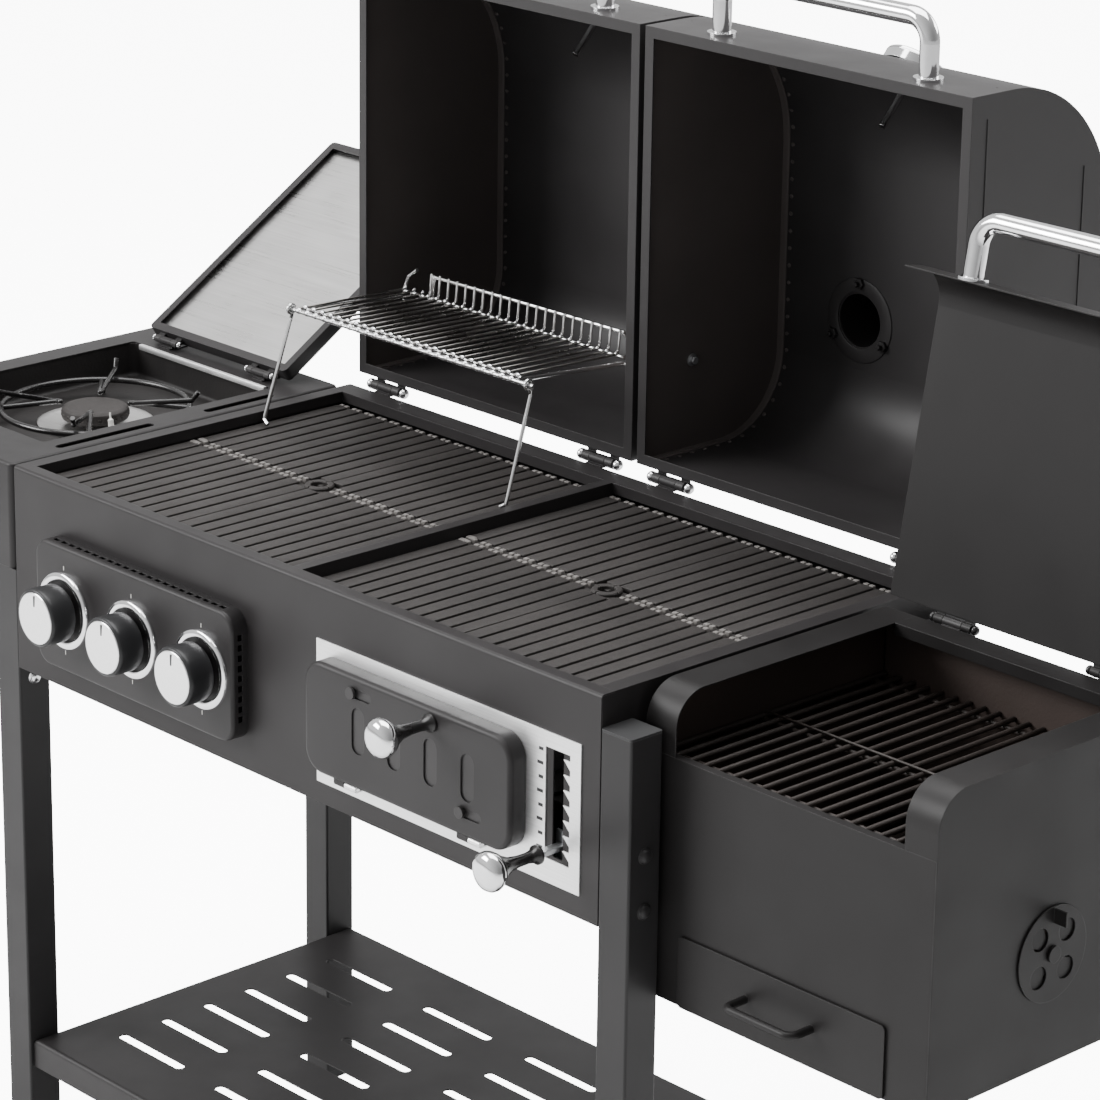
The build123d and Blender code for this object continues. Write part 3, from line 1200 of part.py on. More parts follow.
def pin(x, axis_yz, radius, width, head):
    body = rod((x - width / 2 - 1.5, *axis_yz), (x + width / 2 + 1.5, *axis_yz), radius)
    for side in (-1, 1):
        end = x + side * (width / 2 + 0.4)
        body += rod((end, *axis_yz), (end + side * 3.0, *axis_yz), head)
    return body


pins = [pin(x, HINGE, PIN_R, HINGE_W, 5) for x in GAS_HINGE_X + COAL_HINGE_X]
pins += [pin(x, BOX_HINGE, 2.5, HINGE_W, 4) for x in BOX_HINGE_X]
pins += [pin(x, SIDE_HINGE, 2.0, 40, 3.4) for x in SIDE_KNUCKLES]
pins += [rod((x, *DOOR_HINGE), (x + 32, *DOOR_HINGE), 1.5) for x in (544.3, 724.3)]
parts["hinge_pins"] = Compound(children=pins)


def grease_tray():
    """Drip tray under the gas chamber's outlet; it slides out to the back."""
    x0, x1 = GREASE_X - 90, GREASE_X + 90
    y0, y1 = GREASE_Y - 90, BODY_D - 6
    z0, z1 = TRAY_RAIL_Z - 26, TRAY_RAIL_Z
    tray = block(x0, x1, y0, y1, z0, z1)
    tray = fillet(tray.edges().filter_by(Axis.Z), 8)
    tray -= fillet(block(x0 + 1.2, x1 - 1.2, y0 + 1.2, y1 - 1.2, z0 + 1.2, z1 + 1).edges()
                   .filter_by(Axis.Z), 6.8)
    tray += block(x0 - 8, x0 + 1, y0, y1, z1 - 1.2, z1)
    tray += block(x1 - 1, x1 + 8, y0, y1, z1 - 1.2, z1)
    return tray + block(GREASE_X - 30, GREASE_X + 30, y1 - 1, y1 + 14, z1 - 3, z1)


parts["grease_tray"] = grease_tray()

BOLT_HEAD_R = 6.0
BOLT_THICK = 4.0

def bolt(position, direction):
    """A round-head bolt that stands on a face."""
    start = Vector(*position)
    end = start + Vector(*direction) * BOLT_THICK
    return rod(tuple(start), tuple(end), BOLT_HEAD_R)


def leg_bolts():
    """Bolts through the legs: two per leg into the body and one into the shelf."""
    heads = []
    for leg_y in LEG_ROWS:
        middle = leg_y + TUBE / 2
        for z in (-150, -205, SHELF_Z - 16):
            heads.append(bolt((-TUBE, middle, z), (-1, 0, 0)))
            heads.append(bolt((BODY_W + TUBE, middle, z), (1, 0, 0)))
        heads.append(bolt((0.0, middle, -BODY_H - 15), (1, 0, 0)))
    return heads


table_bolts = [bolt((SHEET, y, -60), (1, 0, 0)) for y in (110, 230, 350)]
bolt_list = leg_bolts() + table_bolts
parts["bolts"] = Compound(children=bolt_list)


# ---------------------------------------------------------------- export, box centred on X and Y
boxes = [shape.bounding_box() for shape in parts.values()]
low = [min(tuple(box.min)[axis] for box in boxes) for axis in range(3)]
high = [max(tuple(box.max)[axis] for box in boxes) for axis in range(3)]
shift = Vector(-(low[0] + high[0]) / 2, -(low[1] + high[1]) / 2, -low[2])
print("shift_mm", [round(value, 4) for value in tuple(shift)])
print("size_mm", [round(high[axis] - low[axis], 2) for axis in range(3)])

os.makedirs("parts", exist_ok=True)
for name, shape in parts.items():
    export_step(shape.translate(shift), f"parts/{name}.step")
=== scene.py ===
import math
import random

import bmesh
import bpy
from mathutils import Matrix, Vector


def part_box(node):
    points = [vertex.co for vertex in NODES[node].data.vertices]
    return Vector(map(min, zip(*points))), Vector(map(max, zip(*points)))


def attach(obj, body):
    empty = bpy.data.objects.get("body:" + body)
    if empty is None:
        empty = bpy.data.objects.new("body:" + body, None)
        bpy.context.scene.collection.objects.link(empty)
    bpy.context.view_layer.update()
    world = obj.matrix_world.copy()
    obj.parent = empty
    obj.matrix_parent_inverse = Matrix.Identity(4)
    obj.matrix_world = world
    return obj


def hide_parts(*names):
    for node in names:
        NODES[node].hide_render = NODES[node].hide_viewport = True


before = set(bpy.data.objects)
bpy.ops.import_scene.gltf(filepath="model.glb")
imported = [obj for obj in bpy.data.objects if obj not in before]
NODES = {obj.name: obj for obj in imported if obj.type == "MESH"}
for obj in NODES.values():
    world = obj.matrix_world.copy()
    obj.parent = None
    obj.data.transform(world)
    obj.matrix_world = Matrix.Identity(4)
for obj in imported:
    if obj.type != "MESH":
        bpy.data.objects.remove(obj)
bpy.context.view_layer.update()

# Looks of the barbecue: a gas side, a charcoal side, a side burner and an offset firebox.
# Places are given in millimetres from the body's front left top corner: X to the right,
# Y to the back and Z up; at() turns them into the frame's metres.

MM = 0.001
panel_low, panel_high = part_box("front_panel")
BODY_CORNER = Vector((panel_low.x, panel_low.y, panel_high.z))
rng = random.Random(5)


def at(x, y, z):
    """A point of the body, from millimetres to the frame."""
    return BODY_CORNER + Vector((x, y, z)) * MM


# ---------------------------------------------------------------- materials
def new_material(name):
    """An empty node material, its tree and its shader."""
    material = bpy.data.materials.new(name)
    material.use_nodes = True
    tree = material.node_tree
    shader = tree.nodes["Principled BSDF"]
    return material, tree, shader


def add_node(tree, kind, **values):
    """A node with its properties and input values set."""
    node = tree.nodes.new(kind)
    for key, value in values.items():
        if hasattr(node, key):
            setattr(node, key, value)
        else:
            node.inputs[key.replace("_", " ")].default_value = value
    return node


def place(tree, scale=(1, 1, 1)):
    """The object's own coordinates, stretched by scale."""
    coords = add_node(tree, "ShaderNodeTexCoord")
    mapping = add_node(tree, "ShaderNodeMapping")
    mapping.inputs["Scale"].default_value = scale
    tree.links.new(coords.outputs["Object"], mapping.inputs["Vector"])
    return mapping.outputs["Vector"]


def noise(tree, vector, scale, detail=2.0, rough=0.5):
    """Soft random values between 0 and 1 over the coordinates."""
    node = add_node(tree, "ShaderNodeTexNoise", Scale=scale, Detail=detail, Roughness=rough)
    tree.links.new(vector, node.inputs["Vector"])
    return node.outputs["Fac"]


def remap(tree, value, low, high, to_low, to_high):
    """A value taken from one range to another, held at its ends."""
    node = add_node(tree, "ShaderNodeMapRange")
    tree.links.new(value, node.inputs["Value"])
    for key, number in (("From Min", low), ("From Max", high), ("To Min", to_low), ("To Max", to_high)):
        node.inputs[key].default_value = number
    return node.outputs["Result"]


# Places of the colour sockets on a mix node.
COLOUR_A = 6
COLOUR_B = 7
COLOUR_OUT = 2


def blend_colours(tree, factor, first, second):
    """Mix of two colours, each a tuple or a socket."""
    node = add_node(tree, "ShaderNodeMix", data_type="RGBA")
    tree.links.new(factor, node.inputs["Factor"])
    for socket, colour in ((node.inputs[COLOUR_A], first), (node.inputs[COLOUR_B], second)):
        if isinstance(colour, tuple):
            socket.default_value = (*colour, 1.0)
        else:
            tree.links.new(colour, socket)
    return node.outputs[COLOUR_OUT]


def multiply(tree, first, second):
    """Product of two values."""
    node = add_node(tree, "ShaderNodeMath", operation="MULTIPLY")
    tree.links.new(first, node.inputs[0])
    tree.links.new(second, node.inputs[1])
    return node.outputs[0]


def surface(tree, shader, height, depth, edge_radius):
    """Bump from a height, on normals rounded over the sharp edges. Returns the edge mask."""
    rounded = add_node(tree, "ShaderNodeBevel", samples=4)
    rounded.inputs["Radius"].default_value = edge_radius
    bump = add_node(tree, "ShaderNodeBump")
    bump.inputs["Distance"].default_value = depth
    bump.inputs["Strength"].default_value = 1.0
    tree.links.new(height, bump.inputs["Height"])
    tree.links.new(rounded.outputs["Normal"], bump.inputs["Normal"])
    tree.links.new(bump.outputs["Normal"], shader.inputs["Normal"])
    plain = add_node(tree, "ShaderNodeNewGeometry")
    dot = add_node(tree, "ShaderNodeVectorMath", operation="DOT_PRODUCT")
    tree.links.new(rounded.outputs["Normal"], dot.inputs[0])
    tree.links.new(plain.outputs["Normal"], dot.inputs[1])
    return remap(tree, dot.outputs["Value"], 0.75, 0.97, 1.0, 0.0)


def coated(name, dark, light, rough, grain=1400.0, depth=0.00005, edge_wear_and_light=0.35, edge_wear_and_light_colour=(0.13, 0.125, 0.125),
           sheen=0.28):
    """Powder coat or paint: slight tone changes, orange peel, and lighter edges, partly rubbed wear and
    partly a painted highlight.
    """
    material, tree, shader = new_material(name)
    vector = place(tree)
    tone = remap(tree, noise(tree, vector, 3.5, 4.0), 0.3, 0.7, 0.0, 1.0)
    colour = blend_colours(tree, tone, dark, light)
    # Edges take a much lighter colour: partly rubbed wear, partly a painted highlight along them.
    edges = surface(tree, shader, noise(tree, vector, grain, 1.0), depth, 0.0011)
    patches = remap(tree, noise(tree, vector, 60.0, 3.0), 0.35, 0.65, 0.2, 1.0)
    edge_wear_and_light_mask = multiply(tree, edges, patches)
    edge_wear_and_light_mask = remap(tree, edge_wear_and_light_mask, 0.0, 1.0, 0.0, edge_wear_and_light)
    tree.links.new(blend_colours(tree, edge_wear_and_light_mask, colour, edge_wear_and_light_colour), shader.inputs["Base Color"])
    gloss = remap(tree, noise(tree, vector, 14.0, 5.0), 0.3, 0.7, rough - 0.05, rough + 0.06)
    tree.links.new(gloss, shader.inputs["Roughness"])
    shader.inputs["Specular IOR Level"].default_value = sheen
    return material


def metal(name, colour, rough, streak=(1, 1, 1), streak_scale=40.0, spread=0.05, depth=0.00001,
          smudge=0.04):
    """Bare or plated metal: fine streaks, a few smudges, no flat gloss."""
    material, tree, shader = new_material(name)
    shader.inputs["Metallic"].default_value = 1.0
    lines = noise(tree, place(tree, streak), streak_scale, 3.0, 0.6)
    vector = place(tree)
    shade = remap(tree, lines, 0.25, 0.75, 0.0, 1.0)
    darker = tuple(channel * 0.86 for channel in colour)
    tree.links.new(blend_colours(tree, shade, darker, colour), shader.inputs["Base Color"])
    smudges = remap(tree, noise(tree, vector, 22.0, 4.0), 0.4, 0.75, 0.0, smudge)
    base = remap(tree, lines, 0.2, 0.8, rough, rough + spread)
    total = add_node(tree, "ShaderNodeMath", operation="ADD")
    tree.links.new(base, total.inputs[0])
    tree.links.new(smudges, total.inputs[1])
    tree.links.new(total.outputs[0], shader.inputs["Roughness"])
    surface(tree, shader, lines, depth, 0.0006)
    return material


def cast(name, dark, light, rough):
    """Seasoned cast iron: grainy skin, brownish patches and lighter high edges, partly polished wear and
    partly a painted highlight.
    """
    material, tree, shader = new_material(name)
    vector = place(tree)
    patches = remap(tree, noise(tree, vector, 9.0, 5.0), 0.3, 0.7, 0.0, 1.0)
    speckle = remap(tree, noise(tree, vector, 420.0, 3.0), 0.45, 0.75, 0.0, 0.5)
    colour = blend_colours(tree, patches, dark, light)
    colour = blend_colours(tree, speckle, colour, tuple(channel * 0.55 for channel in dark))
    edges = surface(tree, shader, noise(tree, vector, 700.0, 4.0, 0.65), 0.00022, 0.0012)
    # Edges take a lighter colour: partly polished wear, partly a painted highlight.
    rubbed_and_lit_edges = remap(tree, edges, 0.0, 1.0, 0.0, 0.5)
    tree.links.new(blend_colours(tree, rubbed_and_lit_edges, colour, (0.16, 0.15, 0.14)), shader.inputs["Base Color"])
    shader.inputs["Specular IOR Level"].default_value = 0.3
    gloss = remap(tree, noise(tree, vector, 30.0, 4.0), 0.3, 0.7, rough - 0.08, rough + 0.1)
    tree.links.new(gloss, shader.inputs["Roughness"])
    return material


def turned(name, colour, centre, axis_index):
    """Spun metal face: fine rings about its centre."""
    material, tree, shader = new_material(name)
    shader.inputs["Metallic"].default_value = 1.0
    coords = add_node(tree, "ShaderNodeTexCoord")
    mapping = add_node(tree, "ShaderNodeMapping")
    mapping.inputs["Location"].default_value = tuple(-c for c in centre)
    flat = [1.0, 1.0, 1.0]
    flat[axis_index] = 0.0
    mapping.inputs["Scale"].default_value = flat
    mapping.inputs["Location"].default_value[axis_index] = 0.0
    tree.links.new(coords.outputs["Object"], mapping.inputs["Vector"])
    length = add_node(tree, "ShaderNodeVectorMath", operation="LENGTH")
    tree.links.new(mapping.outputs["Vector"], length.inputs[0])
    rings = noise(tree, place(tree), 300.0, 2.0)
    ring_noise = add_node(tree, "ShaderNodeTexNoise", noise_dimensions="1D", Scale=2600.0, Detail=3.0)
    tree.links.new(length.outputs["Value"], ring_noise.inputs["W"])
    tree.links.new(remap(tree, ring_noise.outputs["Fac"], 0.3, 0.7, 0.16, 0.28), shader.inputs["Roughness"])
    darker = tuple(channel * 0.9 for channel in colour)
    ringed = blend_colours(tree, ring_noise.outputs["Fac"], darker, colour)
    tree.links.new(ringed, shader.inputs["Base Color"])
    surface(tree, shader, rings, 0.000004, 0.0005)
    return material


def printed(name, colour, rough):
    """Ink or enamel with a slight grain."""
    material, tree, shader = new_material(name)
    vector = place(tree)
    tone = remap(tree, noise(tree, vector, 180.0, 3.0), 0.3, 0.7, 0.0, 1.0)
    darker = tuple(channel * 0.82 for channel in colour)
    tree.links.new(blend_colours(tree, tone, darker, colour), shader.inputs["Base Color"])
    shader.inputs["Roughness"].default_value = rough
    return material


COAT = coated("powder_coat_black", (0.0150, 0.0138, 0.0142), (0.0205, 0.0188, 0.0192), 0.43, sheen=0.25)
BODY = coated("powder_coat_body", (0.0155, 0.0140, 0.0144), (0.0205, 0.0186, 0.0190), 0.43, sheen=0.24)
HOOD = coated("powder_coat_hood", (0.022, 0.0205, 0.021), (0.030, 0.028, 0.0285), 0.40, edge_wear_and_light=0.25)
FIRE = coated("firebox_paint", (0.0090, 0.0082, 0.0082), (0.0130, 0.0118, 0.0118), 0.46, edge_wear_and_light=0.4, sheen=0.22)
LEGS = coated("leg_coat", (0.0150, 0.0142, 0.0146), (0.0200, 0.0190, 0.0195), 0.42, sheen=0.25)
# The lining is a much lighter copy of the hood coat: painted light inside the hoods.
LINING_PAINTED_LIGHT = coated("hood_lining_painted_light", (0.060, 0.052, 0.050), (0.088, 0.076, 0.073), 0.42, edge_wear_and_light=0.2)
SOOT = coated("sooty_paint", (0.010, 0.009, 0.009), (0.017, 0.015, 0.0145), 0.55, 260.0, 0.0002, 0.2)
IRON = cast("cast_iron", (0.019, 0.0165, 0.0158), (0.028, 0.0244, 0.0232), 0.62)
# Lug iron is far lighter than the grate iron: a painted highlight where the rib ends catch the light.
LUG_PAINTED_HIGHLIGHT = cast("lug_iron_painted_highlight", (0.120, 0.112, 0.106), (0.180, 0.168, 0.160), 0.50)
ROD = cast("blackened_rod", (0.022, 0.017, 0.015), (0.034, 0.027, 0.024), 0.45)
ENAMEL = coated("black_enamel", (0.007, 0.0065, 0.0065), (0.011, 0.010, 0.010), 0.24, edge_wear_and_light=0.3, sheen=0.5)
SCALED = coated("scaled_paint", (0.030, 0.022, 0.019), (0.052, 0.038, 0.033), 0.55, 320.0, 0.0002, 0.3)
CHROME = metal("chrome_plate", (0.90, 0.90, 0.91), 0.05)
WIRE = metal("chrome_wire", (0.86, 0.86, 0.86), 0.10, smudge=0.10)
DULL_WIRE = metal("tarnished_wire", (0.26, 0.25, 0.24), 0.22, smudge=0.15)
BRUSHED = metal("brushed_steel", (0.80, 0.79, 0.78), 0.24, (1, 90, 90), 6.0, 0.10, 0.00001, 0.05)
PLATE = metal("bright_steel", (0.97, 0.97, 0.97), 0.38, (2, 120, 120), 5.0, 0.08, 0.000006, 0.05)
ZINC = metal("zinc_steel", (0.52, 0.53, 0.54), 0.34, (8, 8, 8), 12.0, 0.12, 0.00002, 0.08)
HEATED = metal("heated_steel", (0.42, 0.37, 0.32), 0.36, (1, 12, 1), 9.0, 0.16, 0.00002, 0.12)
PLASTIC = coated("black_plastic", (0.012, 0.012, 0.013), (0.020, 0.020, 0.021), 0.34, 2200.0, 0.00002,
                 0.12, (0.12, 0.12, 0.12))
CAP = coated("cap_plastic", (0.022, 0.022, 0.023), (0.032, 0.032, 0.033), 0.48, 1600.0, 0.00003, 0.2)
TYRE = coated("wheel_plastic", (0.018, 0.018, 0.019), (0.028, 0.028, 0.029), 0.52, 900.0, 0.00008, 0.25)
INK = printed("black_ink", (0.015, 0.015, 0.016), 0.5)
RED = printed("red_ink", (0.50, 0.03, 0.02), 0.45)
DIAL = printed("dial_enamel", (0.72, 0.71, 0.68), 0.35)

NODE_LOOKS = {
    COAT: "control_panel side_table bottom_shelf charcoal_door hinge_leaves smokestack stack_cap",
    HOOD: "gas_lid charcoal_lid side_lid door_slider",
    BODY: "front_panel rear_panel left_wall right_wall divider",
    SOOT: "chamber_floors support_rails charcoal_tray grease_tray burner_pan",
    FIRE: "firebox_tub firebox_sides ash_drawer firebox_lid firebox_damper",
    ROD: "firebox_grates",
    LEGS: "leg_front_left leg_rear_left leg_front_right leg_rear_right",
    IRON: "side_burner gas_grates charcoal_grates trivet",
    PLATE: "steel_plate",
    BRUSHED: "side_lid_panel",
    HEATED: "burner_tubes flame_tamers",
    CHROME: "gas_lid_handle charcoal_lid_handle firebox_lid_handle knob_bezels gas_thermometer "
            "charcoal_thermometer hinge_pins door_knob lift_lever",
    WIRE: "warming_rack rack_legs",
    ZINC: "axle gas_manifold bolts",
    PLASTIC: "knob_1 knob_2 knob_3 side_knob",
    CAP: "leg_caps",
    TYRE: "wheel_front wheel_rear",
}
SMOOTH_ANGLE = math.radians(32)


def dress(node, material):
    """Give a CAD node its material, and smooth its curved faces."""
    mesh = node.data
    mesh.materials.clear()
    mesh.materials.append(material)
    mesh.polygons.foreach_set("use_smooth", [True] * len(mesh.polygons))
    mesh.polygons.foreach_set("material_index", [0] * len(mesh.polygons))
    mesh.set_sharp_from_angle(angle=SMOOTH_ANGLE)
    mesh.update()


for material, names in NODE_LOOKS.items():
    for name in names.split():
        dress(NODES[name], material)


# ---------------------------------------------------------------- piece helpers
def settle(obj, material, body, replaced=()):
    """Finish a piece: its material, the body it rides on and what it stands for."""
    bpy.context.scene.collection.objects.link(obj)
    obj.data.materials.append(material)
    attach(obj, body)
    if replaced:
        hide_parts(*replaced)
    return obj


def mesh_piece(name, bm, material, body, replaced=(), angle=SMOOTH_ANGLE):
    """Turn the collected mesh into a finished piece, smooth but for edges over the angle."""
    bmesh.ops.recalc_face_normals(bm, faces=bm.faces)
    mesh = bpy.data.meshes.new(name)
    bm.to_mesh(mesh)
    bm.free()
    mesh.polygons.foreach_set("use_smooth", [True] * len(mesh.polygons))
    mesh.set_sharp_from_angle(angle=angle)
    return settle(bpy.data.objects.new(name, mesh), material, body, replaced)


def rounded_path(points, radius, steps=6):
    """Straight runs joined by arcs of the given radius, as a list of points."""
    points = [Vector(p) for p in points]
    path = [points[0]]
    for before, corner, after in zip(points, points[1:], points[2:]):
        a = (before - corner).normalized()
        b = (after - corner).normalized()
        half = a.angle(b) / 2
        cut = min(radius / math.tan(half), (before - corner).length * 0.49, (after - corner).length * 0.49)
        bend = cut * math.tan(half)
        centre = corner + (a + b).normalized() * (bend / math.sin(half))
        start = corner + a * cut - centre
        end = corner + b * cut - centre
        for step in range(steps + 1):
            path.append(centre + start.slerp(end, step / steps))
    path.append(points[-1])
    return path


def wires(name, runs, radius, material, body, replaced=(), loops=()):
    """Round wire along several runs of points in millimetres of the body, as one curve piece."""
    curve = bpy.data.curves.new(name, "CURVE")
    curve.dimensions = "3D"
    curve.bevel_depth = radius * MM
    curve.bevel_resolution = 3
    curve.use_fill_caps = True
    for points, closed in [(run, False) for run in runs] + [(run, True) for run in loops]:
        spline = curve.splines.new("POLY")
        spline.points.add(len(points) - 1)
        spline.use_cyclic_u = closed
        spline.use_smooth = True
        for target, point in zip(spline.points, points):
            target.co = (*at(*point), 1.0)
    return settle(bpy.data.objects.new(name, curve), material, body, replaced)


def frame_of(direction):
    """Rotation that turns +Z to the direction."""
    return Vector(direction).normalized().to_track_quat("Z", "Y").to_matrix().to_4x4()


def add_lathe(bm, profile, origin, direction, segments=48):
    """Add a turned shape: (radius, height) points in mm about a line through origin."""
    matrix = Matrix.Translation(at(*origin)) @ frame_of(direction)
    rings = []
    for radius, height in profile:
        if radius < 1e-6:
            rings.append([bm.verts.new(matrix @ Vector((0, 0, height * MM)))])
            continue
        ring = []
        for index in range(segments):
            angle = 2 * math.pi * index / segments
            spot = Vector((radius * math.cos(angle), radius * math.sin(angle), height)) * MM
            ring.append(bm.verts.new(matrix @ spot))
        rings.append(ring)
    for low, high in zip(rings, rings[1:]):
        for index in range(segments):
            after = (index + 1) % segments
            corners = [low[index % len(low)], low[after % len(low)], high[after % len(high)],
                       high[index % len(high)]]
            unique = []
            for corner in corners:
                if corner not in unique:
                    unique.append(corner)
            if len(unique) > 2:
                bm.faces.new(unique)


def add_bar(bm, low, high, bevel, segments=2):
    """Add a bar between two corners in mm, with rounded edges."""
    low, high = at(*low), at(*high)
    made = bmesh.ops.create_cube(bm, size=1.0)["verts"]
    size = high - low
    for vert in made:
        vert.co = Vector([low[i] + (vert.co[i] + 0.5) * size[i] for i in range(3)])
    edges = {edge for vert in made for edge in vert.link_edges}
    bmesh.ops.bevel(bm, geom=list(edges), offset=bevel * MM, segments=segments, affect="EDGES",
                    profile=0.6, clamp_overlap=True)


# ---------------------------------------------------------------- cooking grates
GRATE_TOP = -13.0
GRATE_LOW = -22.0
RIBS = 10
RIB_W = 17.0
LUG_D = 7.0
LUG_W = 6.2
HOLE_R = 9.0
BOSS_R = 16.0


def add_boss(bm, centre, first_angle, top):
    """Quarter ring round the lifting hole, at one corner of a grate."""
    steps = 12
    rows = []
    for step in range(steps + 1):
        angle = first_angle + math.pi / 2 * (0.04 + 0.92 * step / steps)
        dx, dy = math.cos(angle), math.sin(angle)
        section = [(HOLE_R, GRATE_LOW), (HOLE_R, top - 1), (HOLE_R + 1, top), (BOSS_R - 1.4, top),
                   (BOSS_R, top - 1.4), (BOSS_R, GRATE_LOW)]
        rows.append([bm.verts.new(at(centre[0] + r * dx, centre[1] + r * dy, z)) for r, z in section])
    count = len(rows[0])
    for first, second in zip(rows, rows[1:]):
        for index in range(count):
            after = (index + 1) % count
            bm.faces.new((first[index], first[after], second[after], second[index]))
    bm.faces.new(rows[0])
    bm.faces.new(list(reversed(rows[-1])))


def grate(name, x0, x1, y0, y1, centre, node):
    """One cast grate: wide ribs with lugs at their ends, the lugs lighter as a painted highlight, over low
    cross bars.
    """
    bm = bmesh.new()
    lugs = bmesh.new()
    pitch = (x1 - x0 - RIB_W) / (RIBS - 1)
    for index in range(RIBS):
        x = x0 + index * pitch
        near_hole = abs(x + RIB_W / 2 - centre[0]) < RIB_W
        front = y0 + (BOSS_R if near_hole and centre[1] < y0 + 5 else LUG_D)
        back = y1 - (BOSS_R if near_hole and centre[1] > y1 - 5 else LUG_D)
        lift = rng.uniform(-0.12, 0.12)
        add_bar(bm, (x, front, GRATE_LOW), (x + RIB_W, back, GRATE_TOP + lift), 1.1)
        for end, inner in ((y0, front), (y1, back)):
            if abs(end - inner) > LUG_D + 0.1:
                continue
            low, high = sorted((end, inner))
            for left in (x + 1.6, x + RIB_W - 1.6 - LUG_W):
                add_bar(lugs, (left, low + 0.4, GRATE_LOW), (left + LUG_W, high - 1.2, GRATE_TOP + 0.4), 1.5)
    outer = x0 if abs(x0 - centre[0]) > 5 else x1 - 12
    joint = y0 if abs(y0 - centre[1]) < 5 else y1
    low, high = sorted((joint, joint + math.copysign(9, (y0 + y1) / 2 - joint)))
    add_bar(lugs, (outer, low + 0.4, GRATE_LOW), (outer + 12, high - 0.4, GRATE_TOP + 0.9), 2.6, 3)
    # The lugs get the much lighter lug iron: a painted highlight on the rib ends and the corner lug.
    mesh_piece(f"{name}_lugs", lugs, LUG_PAINTED_HIGHLIGHT, "frame")
    for y in (y0 + 3, y1 - 12):
        add_bar(bm, (x0 + 2, y, GRATE_LOW - 1), (x1 - 2, y + 9, GRATE_TOP - 3.2), 1.2)
    middle = (y0 + y1) / 2
    add_bar(bm, (x0 + 2, middle - 4, GRATE_LOW - 1), (x1 - 2, middle + 4, GRATE_TOP - 4), 1.2)
    side_x = 1 if x0 >= centre[0] - 3 else -1
    side_y = 1 if y0 >= centre[1] - 3 else -1
    quarter = {(1, 1): 0.0, (-1, 1): 0.5, (-1, -1): 1.0, (1, -1): 1.5}[(side_x, side_y)]
    add_boss(bm, centre, quarter * math.pi, GRATE_TOP + 1.0)
    return mesh_piece(name, bm, IRON, "frame", (node,))


CHAMBERS = {"gas": (19.5, 441.5), "charcoal": (458.5, 880.5)}
GRATE_Y = (18.0, 438.5)
for chamber, (x_left, x_right) in CHAMBERS.items():
    x_mid, y_mid = (x_left + x_right) / 2, sum(GRATE_Y) / 2
    spans_x = ((x_left, x_mid - 1.0), (x_mid + 1.0, x_right))
    spans_y = ((GRATE_Y[0], y_mid - 1.0), (y_mid + 1.0, GRATE_Y[1]))
    for column, (xa, xb) in enumerate(spans_x):
        for row, (ya, yb) in enumerate(spans_y):
            grate(f"{chamber}_grate_{column + 1}{row + 1}", xa, xb, ya, yb, (x_mid, y_mid),
                  f"{chamber}_grates")


# ---------------------------------------------------------------- knobs and pulls
def knob(name, x, z, y_face, body):
    """Control knob: a black body and a spun bright face with a pointer line."""
    bm = bmesh.new()
    front = -58.0 if y_face < -10 else -38.0
    depth = y_face - 7 - front
    profile = [(0, 0), (28.5, 0), (30.6, 1.5), (31.2, 4), (31.5, depth - 6), (31.4, depth - 3.2),
               (30.8, depth - 1.4), (29.6, depth - 0.3), (28.4, depth), (28.0, depth - 0.8), (0, depth - 0.8)]
    add_lathe(bm, profile, (x, y_face - 7, z), (0, -1, 0), 72)
    add_lathe(bm, [(0, 0), (4, 0), (4, 9), (0, 9)], (x, y_face + 2, z), (0, -1, 0), 24)
    body_piece = mesh_piece(f"{name}_body", bm, PLASTIC, body, (name,))
    bm = bmesh.new()
    add_lathe(bm, [(27.9, 0), (27.9, 0.9), (27.2, 1.5), (20, 1.9), (8, 2.2), (0, 2.3)],
              (x, front + 0.9, z), (0, -1, 0), 72)
    centre = at(x, front, z)
    mesh_piece(f"{name}_face", bm, turned(f"{name}_spun", (0.93, 0.93, 0.93), centre, 1), body)
    bm = bmesh.new()
    add_bar(bm, (x - 1.1, front - 1.5, z + 13), (x + 1.1, front + 0.5, z + 25), 0.4)
    mesh_piece(f"{name}_pointer", bm, INK, body)
    return body_piece


KNOB_Z = -128.0
KNOB_X = (112.0, 227.0, 342.0)
SIDE_KNOB = (-172.0, -62.0)
BEZEL = [(33.5, 0), (33.5, 3.2), (34.2, 4.4), (36, 5), (39, 4.7), (41.2, 3.3), (42, 1.2), (42, 0)]


def bezel(index, x, z, y_face):
    """Bright ring on the panel round a knob, and its printed setting marks."""
    bm = bmesh.new()
    add_lathe(bm, BEZEL, (x, y_face, z), (0, -1, 0), 72)
    mesh_piece(f"bezel_{index}", bm, CHROME, "frame", ("knob_bezels",))
    bm = bmesh.new()
    for angle in (math.radians(90), math.radians(270)):
        inner, outer = 44.5, 49.0
        dx, dz = math.cos(angle), math.sin(angle)
        px, pz = -dz * 0.45, dx * 0.45
        corners = [(x + inner * dx + px, z + inner * dz + pz), (x + outer * dx + px, z + outer * dz + pz),
                   (x + outer * dx - px, z + outer * dz - pz), (x + inner * dx - px, z + inner * dz - pz)]
        front = [bm.verts.new(at(cx, y_face - 0.25, cz)) for cx, cz in corners]
        back = [bm.verts.new(at(cx, y_face + 0.1, cz)) for cx, cz in corners]
        bm.faces.new(front)
        for first in range(4):
            second = (first + 1) % 4
            bm.faces.new((front[first], back[first], back[second], front[second]))
    mesh_piece(f"bezel_marks_{index}", bm, DIAL, "frame")


